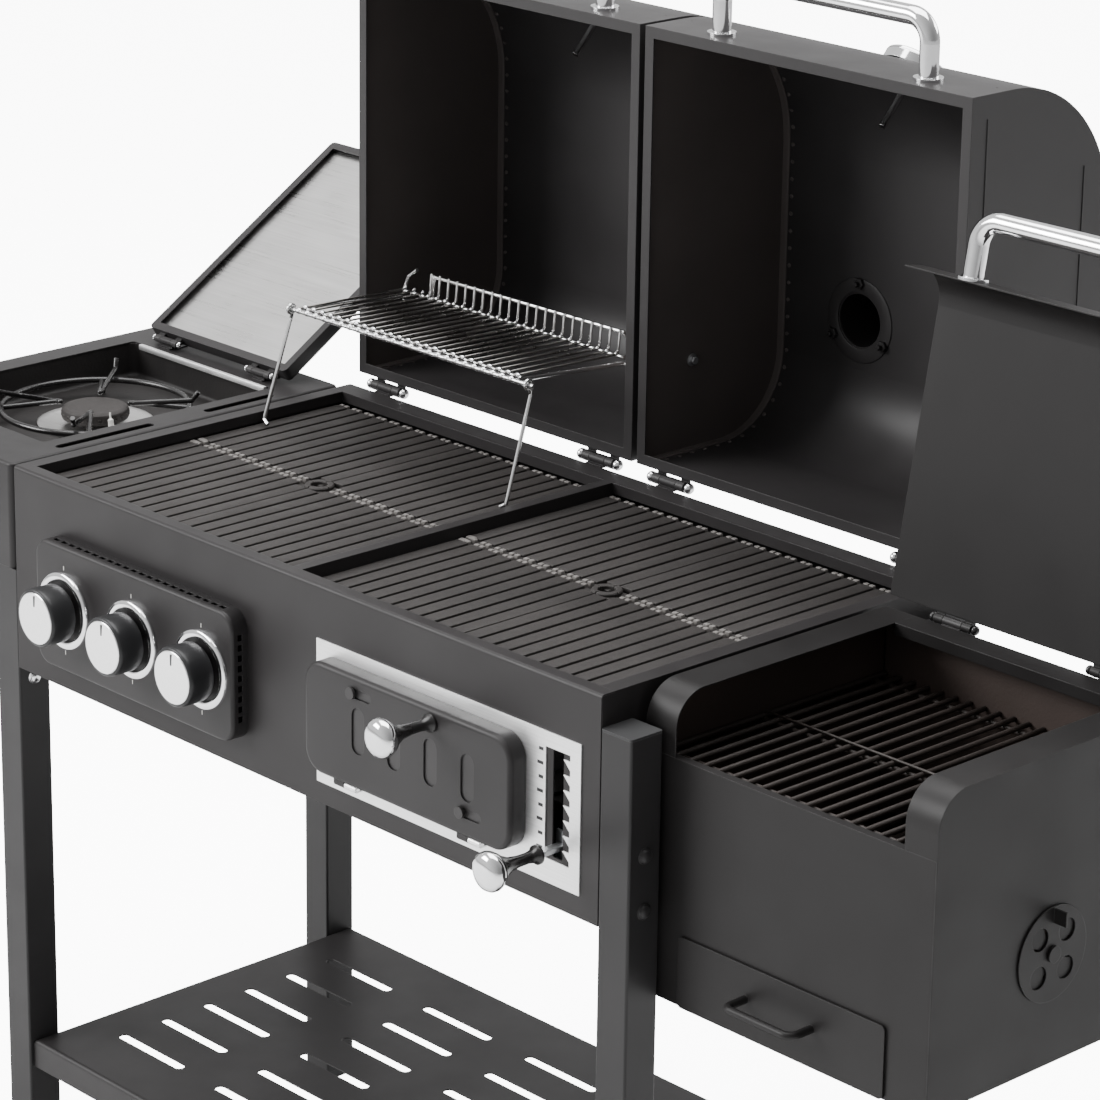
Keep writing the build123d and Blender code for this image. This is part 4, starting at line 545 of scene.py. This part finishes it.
for number, knob_x in enumerate(KNOB_X, start=1):
    knob(f"knob_{number}", knob_x, KNOB_Z, -20.0, f"knob_{number}")
    bezel(number, knob_x, KNOB_Z, -20.0)
knob("side_knob", *SIDE_KNOB, 0.0, "side_knob")
bezel(4, *SIDE_KNOB, 0.0)

PULL_BODY = [(0, 0), (9.5, 0), (9.5, 2.5), (6.6, 6), (5.4, 14), (5.6, 26), (7.4, 38), (11.5, 47),
             (15.6, 52.5), (16.8, 54.5), (16.4, 56), (0, 56)]
PULL_FACE = [(0, 55.5), (16.2, 55.5), (18.6, 57.6), (19.6, 60.6), (19.4, 64), (17.6, 67.4), (14.2, 69.8),
             (9.4, 71.4), (4.6, 72.1), (0, 72.2)]


def pull(name, x, z, y_root, body, node):
    """Black cone stem with a domed chrome knob on its end."""
    scale = (y_root + 94) / 72.0
    bm = bmesh.new()
    add_lathe(bm, [(r, h * scale) for r, h in PULL_BODY], (x, y_root, z), (0, -1, 0), 56)
    mesh_piece(f"{name}_body", bm, ENAMEL, body, (node,))
    bm = bmesh.new()
    add_lathe(bm, [(r, h * scale) for r, h in PULL_FACE], (x, y_root, z), (0, -1, 0), 56)
    mesh_piece(f"{name}_face", bm, CHROME, body)


pull("door_pull", 692.0, -82.0, -22.0, "charcoal_door", "door_knob")
pull("lever_pull", 844.0, -167.0, -24.0, "charcoal_tray", "lift_lever")
bm = bmesh.new()
add_bar(bm, (839, -25, -169.5), (849, 9, -164.5), 0.8)
add_bar(bm, (834, 8, -187), (854, 11, -153), 0.8)
mesh_piece("lever_arm", bm, ZINC, "charcoal_tray", ("lift_lever",))

# Height scale beside the lift slot.
bm = bmesh.new()
for step in range(8):
    z = -172 + step * 14.0
    length = 8.0 if step % 2 == 0 else 6.0
    add_bar(bm, (826 - length, -1.75, z - 1.6), (826, -1.4, z + 1.6), 0.1, 1)
mesh_piece("lever_scale", bm, INK, "frame")

# ---------------------------------------------------------------- hinges and fasteners
HINGE = (480.0, 3.0)
HOOD_HINGE_X = {"gas_hood": (50.0, 396.0), "charcoal_hood": (503.0, 849.0)}
ALL_HOOD_HINGE_X = HOOD_HINGE_X["gas_hood"] + HOOD_HINGE_X["charcoal_hood"]
FIREBOX_HINGE = (373.0, 6.0)
FIREBOX_HINGE_X = (994.0, 1186.0)
SIDE_HINGE = (400.0, 8.0)
SIDE_HINGE_X = (-250.0, -80.0)
DOOR_PIN_X = (544.3, 724.3)
SCREW_OUT = 14.0


def open_point(x, y, z):
    """Where a point of a closed hood is with the hood swung open by a quarter turn."""
    return x, HINGE[0] + z - HINGE[1], HINGE[1] + HINGE[0] - y


PIN_HEAD = [(0, 0), (3.6, 0), (5.0, 1.0), (6.0, 2.8), (6.2, 4.4), (5.6, 6.4), (4.2, 8.2), (2.2, 9.4),
            (0, 9.8)]
bm = bmesh.new()
for x in ALL_HOOD_HINGE_X:
    for side in (-1, 1):
        add_lathe(bm, PIN_HEAD, (x + side * 23.4, *HINGE), (side, 0, 0), 28)
    add_lathe(bm, [(0, -24), (3, -24), (3, 24), (0, 24)], (x, *HINGE), (1, 0, 0), 24)
for x in SIDE_HINGE_X:
    for side in (-1, 1):
        add_lathe(bm, [(r * 0.65, h * 0.5) for r, h in PIN_HEAD], (x + side * 20.4, *SIDE_HINGE),
                  (side, 0, 0), 24)
    add_lathe(bm, [(0, -21), (2, -21), (2, 21), (0, 21)], (x, *SIDE_HINGE), (1, 0, 0), 20)
for x in DOOR_PIN_X:
    add_lathe(bm, [(0, 0), (1.5, 0), (1.5, 32), (0, 32)], (x, -14, -188.5), (1, 0, 0), 16)
mesh_piece("pins_and_heads", bm, CHROME, "frame", ("hinge_pins",))
bm = bmesh.new()
for x in FIREBOX_HINGE_X:
    for side in (-1, 1):
        add_lathe(bm, [(r * 0.78, h * 0.7) for r, h in PIN_HEAD], (x + side * 23.4, *FIREBOX_HINGE),
                  (side, 0, 0), 24)
    add_lathe(bm, [(0, -24), (2.5, -24), (2.5, 24), (0, 24)], (x, *FIREBOX_HINGE), (1, 0, 0), 24)
mesh_piece("firebox_pins", bm, ENAMEL, "frame")

DOME = [(0, -0.5), (8.4, -0.5), (8.4, 0.6), (6.8, 1.0), (6.6, 1.4), (6.0, 3.2), (4.4, 4.4), (2.4, 5.0),
        (0, 5.1)]
SMALL = [(r * 0.62, h * 0.62) for r, h in DOME]
LEG_MIDDLE_Y = (20.0, 450.0)
LEG_BOLT_Z = (-150.0, -205.0, -686.0)
bm = bmesh.new()
for middle in LEG_MIDDLE_Y:
    for z in LEG_BOLT_Z:
        add_lathe(bm, DOME, (-40, middle, z), (-1, 0, 0), 32)
    add_lathe(bm, DOME, (0, middle, -243), (1, 0, 0), 32)
for y in (110.0, 230.0, 350.0):
    add_lathe(bm, DOME, (1.5, y, -60), (1, 0, 0), 32)
mesh_piece("domed_bolts", bm, CHROME, "frame", ("bolts",))
bm = bmesh.new()
for middle in LEG_MIDDLE_Y:
    for z in LEG_BOLT_Z:
        add_lathe(bm, DOME, (940, middle, z), (1, 0, 0), 32)
mesh_piece("right_leg_bolts", bm, LEGS, "frame")

# Small screws on the hinge plates, and the folded edges of the hoods' hinge leaves.
bm = bmesh.new()
for x in ALL_HOOD_HINGE_X:
    for side in (-SCREW_OUT, SCREW_OUT):
        add_lathe(bm, SMALL, (x + side, 472, -22), (0, 1, 0), 24)
for x in FIREBOX_HINGE_X:
    for side in (-SCREW_OUT, SCREW_OUT):
        add_lathe(bm, SMALL, (x + side, 369, -20), (0, 1, 0), 24)
mesh_piece("hinge_screws", bm, ZINC, "frame")
for body, xs in HOOD_HINGE_X.items():
    bm = bmesh.new()
    for x in xs:
        add_bar(bm, open_point(x - 12, 473.5, 8), open_point(x + 12, 470, 13), 0.5)
    mesh_piece(f"{body}_hinge_folds", bm, COAT, body)
    bm = bmesh.new()
    for x in xs:
        for side in (-SCREW_OUT, SCREW_OUT):
            spot = open_point(x + side, 472, 28)
            add_lathe(bm, SMALL, spot, (0, 0, -1), 24)
    mesh_piece(f"{body}_screws", bm, ZINC, body)

# Heat-scaled inner skin of the firebox, and the cross wire on its grate.
SKIN_LOW = -205.0
SKIN_TOP = -14.0
bm = bmesh.new()
add_bar(bm, (913.7, 58, SKIN_LOW), (914.6, 364, SKIN_TOP), 0.2, 1)
add_bar(bm, (916, 364.2, SKIN_LOW), (1264, 365.2, SKIN_TOP), 0.2, 1)
add_bar(bm, (1265.4, 58, SKIN_LOW), (1266.3, 364, SKIN_TOP), 0.2, 1)
mesh_piece("firebox_skin", bm, SCALED, "frame")
wires("grate_cross_wire", [[(920, 196, -59.0), (1260, 196, -59.0)]], 1.3, ROD, "frame")

# ---------------------------------------------------------------- thermometers
DIAL_ANGLE = math.radians(42.0)


def thermometer(body, x):
    """White dial in the case on the hood's front round, with marks, a needle and a hub."""
    y = 150 - 150 * math.cos(DIAL_ANGLE)
    z = 62 + 150 * math.sin(DIAL_ANGLE)
    out = Vector((0, -math.cos(DIAL_ANGLE), math.sin(DIAL_ANGLE)))
    normal = Vector((0, out.z, -out.y))
    centre = Vector(open_point(x, y, z))
    across = Vector((1, 0, 0))
    up = normal.cross(across)
    bm = bmesh.new()
    add_lathe(bm, [(29.8, 11.8), (29.8, 12.3), (29.2, 12.5), (0, 12.5)], centre, normal, 64)
    mesh_piece(f"{body}_dial", bm, DIAL, body)
    bm = bmesh.new()
    add_lathe(bm, [(29.9, 12.4), (29.9, 15.2), (31.2, 16.0), (33.6, 15.8), (35.4, 14.4), (36.1, 12)],
              centre, normal, 64)
    mesh_piece(f"{body}_dial_rim", bm, CHROME, body)

    def mark(bm, angle, inner, outer, half, height):
        """Thin raised stroke on the dial, along one direction from its centre."""
        along = across * math.cos(angle) + up * math.sin(angle)
        beside = normal.cross(along)
        corners = [(inner, half), (outer, half), (outer, -half), (inner, -half)]
        tops = []
        lows = []
        for distance, offset in corners:
            spot = centre + along * distance + beside * offset
            tops.append(bm.verts.new(at(*(spot + normal * height))))
            lows.append(bm.verts.new(at(*(spot + normal * (height - 0.3)))))
        bm.faces.new(tops)
        for first in range(4):
            second = (first + 1) % 4
            bm.faces.new((tops[first], lows[first], lows[second], tops[second]))

    bm = bmesh.new()
    for step in range(31):
        angle = math.radians(225 - 270 * step / 30)
        mark(bm, angle, 22.5 if step % 5 == 0 else 24.5, 27.5, 0.5 if step % 5 == 0 else 0.28, 12.75)
    mark(bm, math.radians(190), -6, 20, 0.6, 13.4)
    add_lathe(bm, [(3.2, 12.4), (3.2, 13.6), (2.4, 14.2), (0, 14.3)], centre, normal, 24)
    mesh_piece(f"{body}_dial_marks", bm, INK, body)
    bm = bmesh.new()
    for step in range(9):
        angle = math.radians(10 - 55 * step / 8)
        mark(bm, angle, 19.0, 21.0, 0.85, 12.75)
    mesh_piece(f"{body}_dial_hot", bm, RED, body)


thermometer("gas_hood", 224.5)
thermometer("charcoal_hood", 675.5)

# ---------------------------------------------------------------- warming rack
RACK_X = (45.0, 402.0)
RACK_FRONT = (350.0, 117.0)
RACK_REAR = (508.0, 112.0)
RACK_PIVOT = (525.0, 92.0)
FENCE = 30.0
RACK_WIRES = 25
x_left, x_right = RACK_X
y_front, z_front = RACK_FRONT
y_rear, z_rear = RACK_REAR
fence_left = x_left + 48.0
fence_top = z_rear + FENCE
thick_runs = [
    [(33, y_front, z_front), (430, y_front, z_front)],
    rounded_path([(fence_left, y_rear, z_rear), (fence_left, y_rear, fence_top), (x_right, y_rear, fence_top),
                  (x_right, y_rear + 4, fence_top - 8)], 5),
    [(x_left, y_rear, z_rear), (x_right, y_rear, z_rear)],
    rounded_path([(x_left, y_rear, z_rear), (x_left, y_rear, fence_top - 4),
                  (x_left + 22, y_rear, fence_top - 2)], 9),
]
for x, wall in ((x_left, -2.0), (x_right, 451.0)):
    thick_runs.append(rounded_path([(x, y_front, z_front), (x, y_rear, z_rear), (x, *RACK_PIVOT),
                                    (wall, *RACK_PIVOT)], 7))
wires("rack_frame", thick_runs, 2.4, WIRE, "warming_rack", ("warming_rack",))
inner_rail = [(x_left, y_front + 9, z_front + 1.5), (x_right, y_front + 9, z_front + 1.5)]
wires("rack_inner_rail", [inner_rail], 1.7, WIRE, "warming_rack", ("warming_rack",))
thin_runs = []
fence_runs = []
for index in range(RACK_WIRES):
    x = x_left + 6 + (x_right - x_left - 12) * index / (RACK_WIRES - 1)
    thin_runs.append([(x, y_front - 2.5, z_front - 1), (x, y_front + 2, z_front + 3.2),
                      (x, y_rear - 3, z_rear + 3.5)])
    top = fence_top - 0.5 if x > fence_left else z_rear + 7
    fence_runs.append(rounded_path([(x, y_rear - 9, z_rear + 3.5), (x, y_rear - 1, z_rear + 3.5),
                                    (x, y_rear - 1.5, top)], 4, 4))
wires("rack_wires", thin_runs, 1.5, DULL_WIRE, "warming_rack", ("warming_rack",))
wires("rack_fence", fence_runs, 1.6, WIRE, "warming_rack", ("warming_rack",))
bm = bmesh.new()
for wall, side in ((-2.0, -1), (451.0, 1)):
    add_lathe(bm, [(0, 0), (6, 0), (6, 1.2), (4.4, 2.6), (0, 3.0)], (wall, *RACK_PIVOT), (side, 0, 0), 28)
mesh_piece("rack_pin_heads", bm, CHROME, "warming_rack", ("warming_rack",))
BEAD = [(0, -4.0), (2.2, -3.3), (3.4, -1.4), (3.4, 1.4), (2.2, 3.3), (0, 4.0)]
bm = bmesh.new()
for run in thin_runs:
    x = run[0][0]
    add_lathe(bm, BEAD, (x, y_front, z_front + 0.6), (1, 0, 0), 12)
    add_lathe(bm, BEAD, (x, y_front + 9, z_front + 2.2), (1, 0, 0), 12)
mesh_piece("rack_welds", bm, CHROME, "warming_rack")


def rack_leg(x_top, x_foot, toe_x):
    """One hanging leg: an eye on the rack's front wire, a long shank and a bent toe."""
    y_top, z_top = RACK_FRONT
    eye = []
    for step in range(13):
        angle = math.radians(-60 + 300 * step / 12)
        eye.append((x_top, y_top - 4.6 * math.sin(angle), z_top - 4.6 * math.cos(angle) + 0.2))
    shank = rounded_path([eye[-1], (x_top, y_top - 1.5, z_top - 10), (x_foot, 315, -9), (toe_x, 315, -9)], 5)
    return eye + shank[1:]


wires("rack_leg_wires", [rack_leg(38.0, 26.0, 38.0), rack_leg(422.0, 431.0, 419.0)], 2.2, WIRE,
      "rack_legs", ("rack_legs",))

# ---------------------------------------------------------------- side burner
BURNER = (-172.0, 236.0)
TRIVET_Z = -16.0
TRIVET_R = 106.0
FINGER_END = TRIVET_R + 12


def circle(radius, z, count=72):
    """Points round the side burner's centre."""
    points = []
    for index in range(count):
        angle = 2 * math.pi * index / count
        points.append((BURNER[0] + radius * math.cos(angle), BURNER[1] + radius * math.sin(angle), z))
    return points


finger_runs = []
for index in range(4):
    angle = math.radians(45 + 90 * index)
    along = Vector((math.cos(angle), math.sin(angle), 0))
    across = Vector((-along.y, along.x, 0))
    base = Vector((*BURNER, TRIVET_Z))
    end = base + along * FINGER_END
    route = [end - across * 8 + Vector((0, 0, 17)), end - across * 8, base + along * 42 - across * 8,
             base + along * 32, base + along * 42 + across * 8, end + across * 8,
             end + across * 8 - Vector((0, 0, 23))]
    finger_runs.append([tuple(p) for p in rounded_path(route, 8, 6)])
wires("trivet_fingers", finger_runs, 3.0, ENAMEL, "frame", ("trivet",))
wires("trivet_ring", [], 3.5, ENAMEL, "frame", ("trivet",), [circle(TRIVET_R, TRIVET_Z - 5.0)])

HEAD = [(0, -62), (21, -62), (22, -60), (22, -36), (30, -34), (37, -33), (38, -31), (38, -24), (37.2, -22),
        (35, -20.4), (31, -20), (28, -20.8), (20, -21.4), (10, -21.2), (0, -21)]
bm = bmesh.new()
add_lathe(bm, HEAD, (*BURNER, 0), (0, 0, 1), 64)
for index in range(24):
    angle = math.radians(15 * index)
    spot = (BURNER[0] + 37.4 * math.cos(angle), BURNER[1] + 37.4 * math.sin(angle), -27.5)
    outward = (math.cos(angle), math.sin(angle), 0)
    add_lathe(bm, [(2.0, 0), (2.0, 1.3), (1.2, 1.3), (1.2, -2)], spot, outward, 12)
add_lathe(bm, [(0, 0), (10, 0), (10, 166), (12, 172), (12, 182), (0, 182)], (BURNER[0], 54, SIDE_KNOB[1]),
          (0, 1, 0), 32)
add_bar(bm, (-294, BURNER[1] + 40, -44), (-50, BURNER[1] + 60, -42.05), 0.6)
add_bar(bm, (BURNER[0] - 8, BURNER[1], -48), (BURNER[0] + 8, BURNER[1] + 60, -44), 0.8)
mesh_piece("burner_head", bm, IRON, "frame", ("side_burner",))
bm = bmesh.new()
add_lathe(bm, [(24, -1.6), (40, -1.2), (58, 0.2), (64, 1.4), (66, 1.0), (58, -0.6), (24, -2.4)],
          (*BURNER, -38.8), (0, 0, 1), 64)
mesh_piece("burner_dish", bm, BRUSHED, "frame")
bm = bmesh.new()
add_bar(bm, (-282, 382, -6), (-52, 387.5, 0.6), 1.4)
mesh_piece("pan_rear_lip", bm, PLATE, "frame")
bm = bmesh.new()
add_lathe(bm, [(0, 0), (3.2, 0), (3.2, 16), (2.0, 17), (1.0, 18), (1.0, 24), (0, 24.5)],
          (BURNER[0] + 46, BURNER[1] - 12, -40.4), (-0.25, 0.1, 1), 20)
mesh_piece("igniter", bm, DIAL, "frame")

# ---------------------------------------------------------------- chimney fixings inside the hood
STACK = (574.0, 326.0)
bm = bmesh.new()
inside = open_point(STACK[0], STACK[1], 210.5)
ring = [(30.5, 0), (30.5, 1.2), (32, 1.8), (44, 1.8), (46, 1.2), (46.5, 0)]
add_lathe(bm, ring, inside, (0, -1, 0), 64)
mesh_piece("stack_ring_inside", bm, HOOD, "charcoal_hood")
bm = bmesh.new()
for degrees in (30, 150, 270):
    dx = 41 * math.cos(math.radians(degrees))
    dy = 41 * math.sin(math.radians(degrees))
    spot = open_point(STACK[0] + dx, STACK[1] + dy, 209.5)
    add_lathe(bm, [(0, 0), (6.4, 0), (6.4, 3.8), (5.6, 4.6), (3.0, 4.6), (3.0, 9), (2.4, 9.6), (0, 9.8)],
              spot, (0, -1, 0), 6)
mesh_piece("stack_nuts", bm, COAT, "charcoal_hood")
bm = bmesh.new()
for degrees in (90, 210, 330):
    dx = 40 * math.cos(math.radians(degrees))
    dy = 40 * math.sin(math.radians(degrees))
    add_lathe(bm, SMALL, open_point(STACK[0] + dx, STACK[1] + dy, 218), (0, 1, 0), 28)
mesh_piece("stack_bolts", bm, ZINC, "charcoal_hood")

# ---------------------------------------------------------------- end sheets inside the hoods: painted light on the dark end walls
FRONT_R, REAR_R = 150.0, 90.0
HOOD_D, HOOD_TALL = 470.0, 212.0


def hood_line(inset):
    """Side outline of a closed hood, inset from its outer face, from the front up and over."""
    front = (FRONT_R, HOOD_TALL - FRONT_R)
    rear = (HOOD_D - REAR_R, HOOD_TALL - REAR_R)
    line = [(inset, 4.0)]
    for step in range(17):
        angle = math.radians(180 - 90 * step / 16)
        radius = FRONT_R - inset
        line.append((front[0] + radius * math.cos(angle), front[1] + radius * math.sin(angle)))
    for step in range(13):
        angle = math.radians(90 - 90 * step / 12)
        radius = REAR_R - inset
        line.append((rear[0] + radius * math.cos(angle), rear[1] + radius * math.sin(angle)))
    line.append((HOOD_D - inset, 4.0))
    return line


def along_line(line, spacing):
    """Points every so many millimetres along a line of (y, z) points."""
    spots = []
    carried = spacing / 2
    for (y0, z0), (y1, z1) in zip(line, line[1:]):
        length = math.hypot(y1 - y0, z1 - z0)
        while carried < length:
            part = carried / length
            spots.append((y0 + (y1 - y0) * part, z0 + (z1 - z0) * part))
            carried += spacing
        carried -= length
    return spots


def end_sheet_painted_light(name, body, x_wall, side):
    """Inner skin of a hood's end wall, its flange along the shell and the spot welds, all in a lighter paint
    that stands in for the light inside the hood.
    """
    bm = bmesh.new()
    rim = [bm.verts.new(at(*open_point(x_wall + side * 0.6, y, z))) for y, z in hood_line(2.0)]
    back = [bm.verts.new(at(*open_point(x_wall + side * 0.1, y, z))) for y, z in hood_line(2.0)]
    bm.faces.new(rim)
    bm.faces.new(list(reversed(back)))
    for index, vert in enumerate(rim):
        after = (index + 1) % len(rim)
        bm.faces.new((vert, back[index], back[after], rim[after]))
    mesh_piece(f"{name}_sheet", bm, LINING_PAINTED_LIGHT, body, angle=math.radians(20))
    bm = bmesh.new()
    rows = []
    for x, inset in ((0.6, 3.4), (7.5, 3.4), (9.0, 2.9), (9.4, 1.6)):
        rows.append([bm.verts.new(at(*open_point(x_wall + side * x, y, z))) for y, z in hood_line(inset)])
    for low, high in zip(rows, rows[1:]):
        for index in range(len(low) - 1):
            bm.faces.new((low[index], low[index + 1], high[index + 1], high[index]))
    mesh_piece(f"{name}_flange", bm, LINING_PAINTED_LIGHT, body)
    bm = bmesh.new()
    for y, z in along_line(hood_line(1.6), 19.0):
        near = min(hood_line(12.0), key=lambda p: math.hypot(p[0] - y, p[1] - z))
        spot = Vector(open_point(x_wall + side * 13.5, y, z))
        inward = Vector(open_point(x_wall + side * 13.5, *near)) - spot
        if inward.length > 16:
            inward = Vector(open_point(x_wall, HOOD_D / 2, 60)) - spot
            inward.x = 0
        add_lathe(bm, [(2.5, -0.2), (2.2, 0.5), (1.2, 1.0), (0, 1.1)], spot, inward, 14)
    mesh_piece(f"{name}_welds", bm, LINING_PAINTED_LIGHT, body)


bm = bmesh.new()
for x, side in ((455.5, 1), (895.5, -1)):
    add_lathe(bm, [(0, 0), (7, 0), (7, 1.2), (4.6, 1.8), (4.6, 5.4), (3.6, 6.2), (0, 6.4)],
              open_point(x + side * 0.6, 370, 78), (side, 0, 0), 20)
mesh_piece("hood_end_bolts", bm, ZINC, "charcoal_hood")
end_sheet_painted_light("gas_hood_left_end", "gas_hood", 4.5, 1)
end_sheet_painted_light("gas_hood_right_end", "gas_hood", 444.5, -1)
end_sheet_painted_light("charcoal_hood_left_end", "charcoal_hood", 455.5, 1)
end_sheet_painted_light("charcoal_hood_right_end", "charcoal_hood", 895.5, -1)

# ---------------------------------------------------------------- seams pressed in the hood ends
def end_seams(name, body, x_wall, side):
    """Two raised folds on a hood's end wall: one along its mouth and one under its top."""
    runs = []
    for y0, z0, y1, z1 in ((24, 24, 446, 24), (92, 172, 392, 172)):
        start = open_point(x_wall + side * 0.1, y0, z0)
        end = open_point(x_wall + side * 0.1, y1, z1)
        runs.append([start, end])
    wires(name, runs, 0.9, HOOD, body)


end_seams("gas_hood_seams_left", "gas_hood", 3.0, -1)
end_seams("gas_hood_seams_right", "gas_hood", 446.0, 1)
end_seams("charcoal_hood_seams_left", "charcoal_hood", 454.0, -1)
end_seams("charcoal_hood_seams_right", "charcoal_hood", 897.0, 1)

# ---------------------------------------------------------------- floor, light and camera
def seen_direct(tree, elsewhere, direct):
    """A strength that is higher where the camera sees the backdrop itself, not its light."""
    path = add_node(tree, "ShaderNodeLightPath")
    return remap(tree, path.outputs["Is Camera Ray"], 0.0, 1.0, elsewhere, direct)


floor_material = printed("studio_floor", (0.95, 0.95, 0.95), 0.9)
floor_tree = floor_material.node_tree
floor_shader = floor_tree.nodes["Principled BSDF"]
floor_shader.inputs["Emission Color"].default_value = (1.0, 1.0, 1.0, 1.0)
floor_tree.links.new(seen_direct(floor_tree, 0.0, 9.0), floor_shader.inputs["Emission Strength"])
floor_mesh = bpy.data.meshes.new("studio_floor")
half = 40.0
floor_mesh.from_pydata([(-half, -half, 0), (half, -half, 0), (half, half, 0), (-half, half, 0)], [],
                       [(0, 1, 2, 3)])
floor = bpy.data.objects.new("studio_floor", floor_mesh)
floor.data.materials.append(floor_material)
bpy.context.scene.collection.objects.link(floor)


def soft_light(name, spot, target, size, power):
    """Large rectangular studio lamp aimed at a point."""
    data = bpy.data.lights.new(name, "AREA")
    data.shape = "RECTANGLE"
    data.size, data.size_y = size
    data.energy = power
    light = bpy.data.objects.new(name, data)
    light.location = spot
    light.rotation_euler = (Vector(target) - Vector(spot)).to_track_quat("-Z", "Y").to_euler()
    bpy.context.scene.collection.objects.link(light)


soft_light("key_light", (-3.2, -4.2, 3.6), (0, 0, 0.8), (3.0, 2.4), 420.0)
soft_light("top_light", (-0.4, 0.4, 5.0), (0, 0, 0.8), (4.5, 3.5), 380.0)
soft_light("rear_light", (1.5, 5.0, 3.2), (0, 0, 0.8), (3.5, 2.0), 160.0)

world = bpy.data.worlds.new("studio")
world.use_nodes = True
bpy.context.scene.world = world
sky = world.node_tree.nodes["Background"]
coords = add_node(world.node_tree, "ShaderNodeTexCoord")
split = add_node(world.node_tree, "ShaderNodeSeparateXYZ")
world.node_tree.links.new(coords.outputs["Generated"], split.inputs["Vector"])
shade = remap(world.node_tree, split.outputs["X"], -0.4, 1.0, 1.0, 0.25)
backdrop = multiply(world.node_tree, shade, seen_direct(world.node_tree, 1.0, 14.0))
world.node_tree.links.new(backdrop, sky.inputs["Strength"])
sky.inputs["Color"].default_value = (1.0, 1.0, 1.0, 1.0)

YAW, PITCH, ROLL = math.radians(46.7), math.radians(17.5), math.radians(0.8)
forward = Vector((-math.sin(YAW) * math.cos(PITCH), math.cos(YAW) * math.cos(PITCH), -math.sin(PITCH)))
level = Vector((math.cos(YAW), math.sin(YAW), 0))
upward = level.cross(forward)
right = level * math.cos(ROLL) + upward * math.sin(ROLL)
top = upward * math.cos(ROLL) - level * math.sin(ROLL)
camera_data = bpy.data.cameras.new("camera")
camera_data.lens = 132.16
camera_data.sensor_width = 36.0
camera_data.shift_y = -0.0909
camera = bpy.data.objects.new("camera", camera_data)
rotation = Matrix((right, top, -forward)).transposed().to_4x4()
camera.matrix_world = Matrix.Translation(at(3352, -2379, 1309)) @ rotation
bpy.context.scene.collection.objects.link(camera)
bpy.context.scene.camera = camera
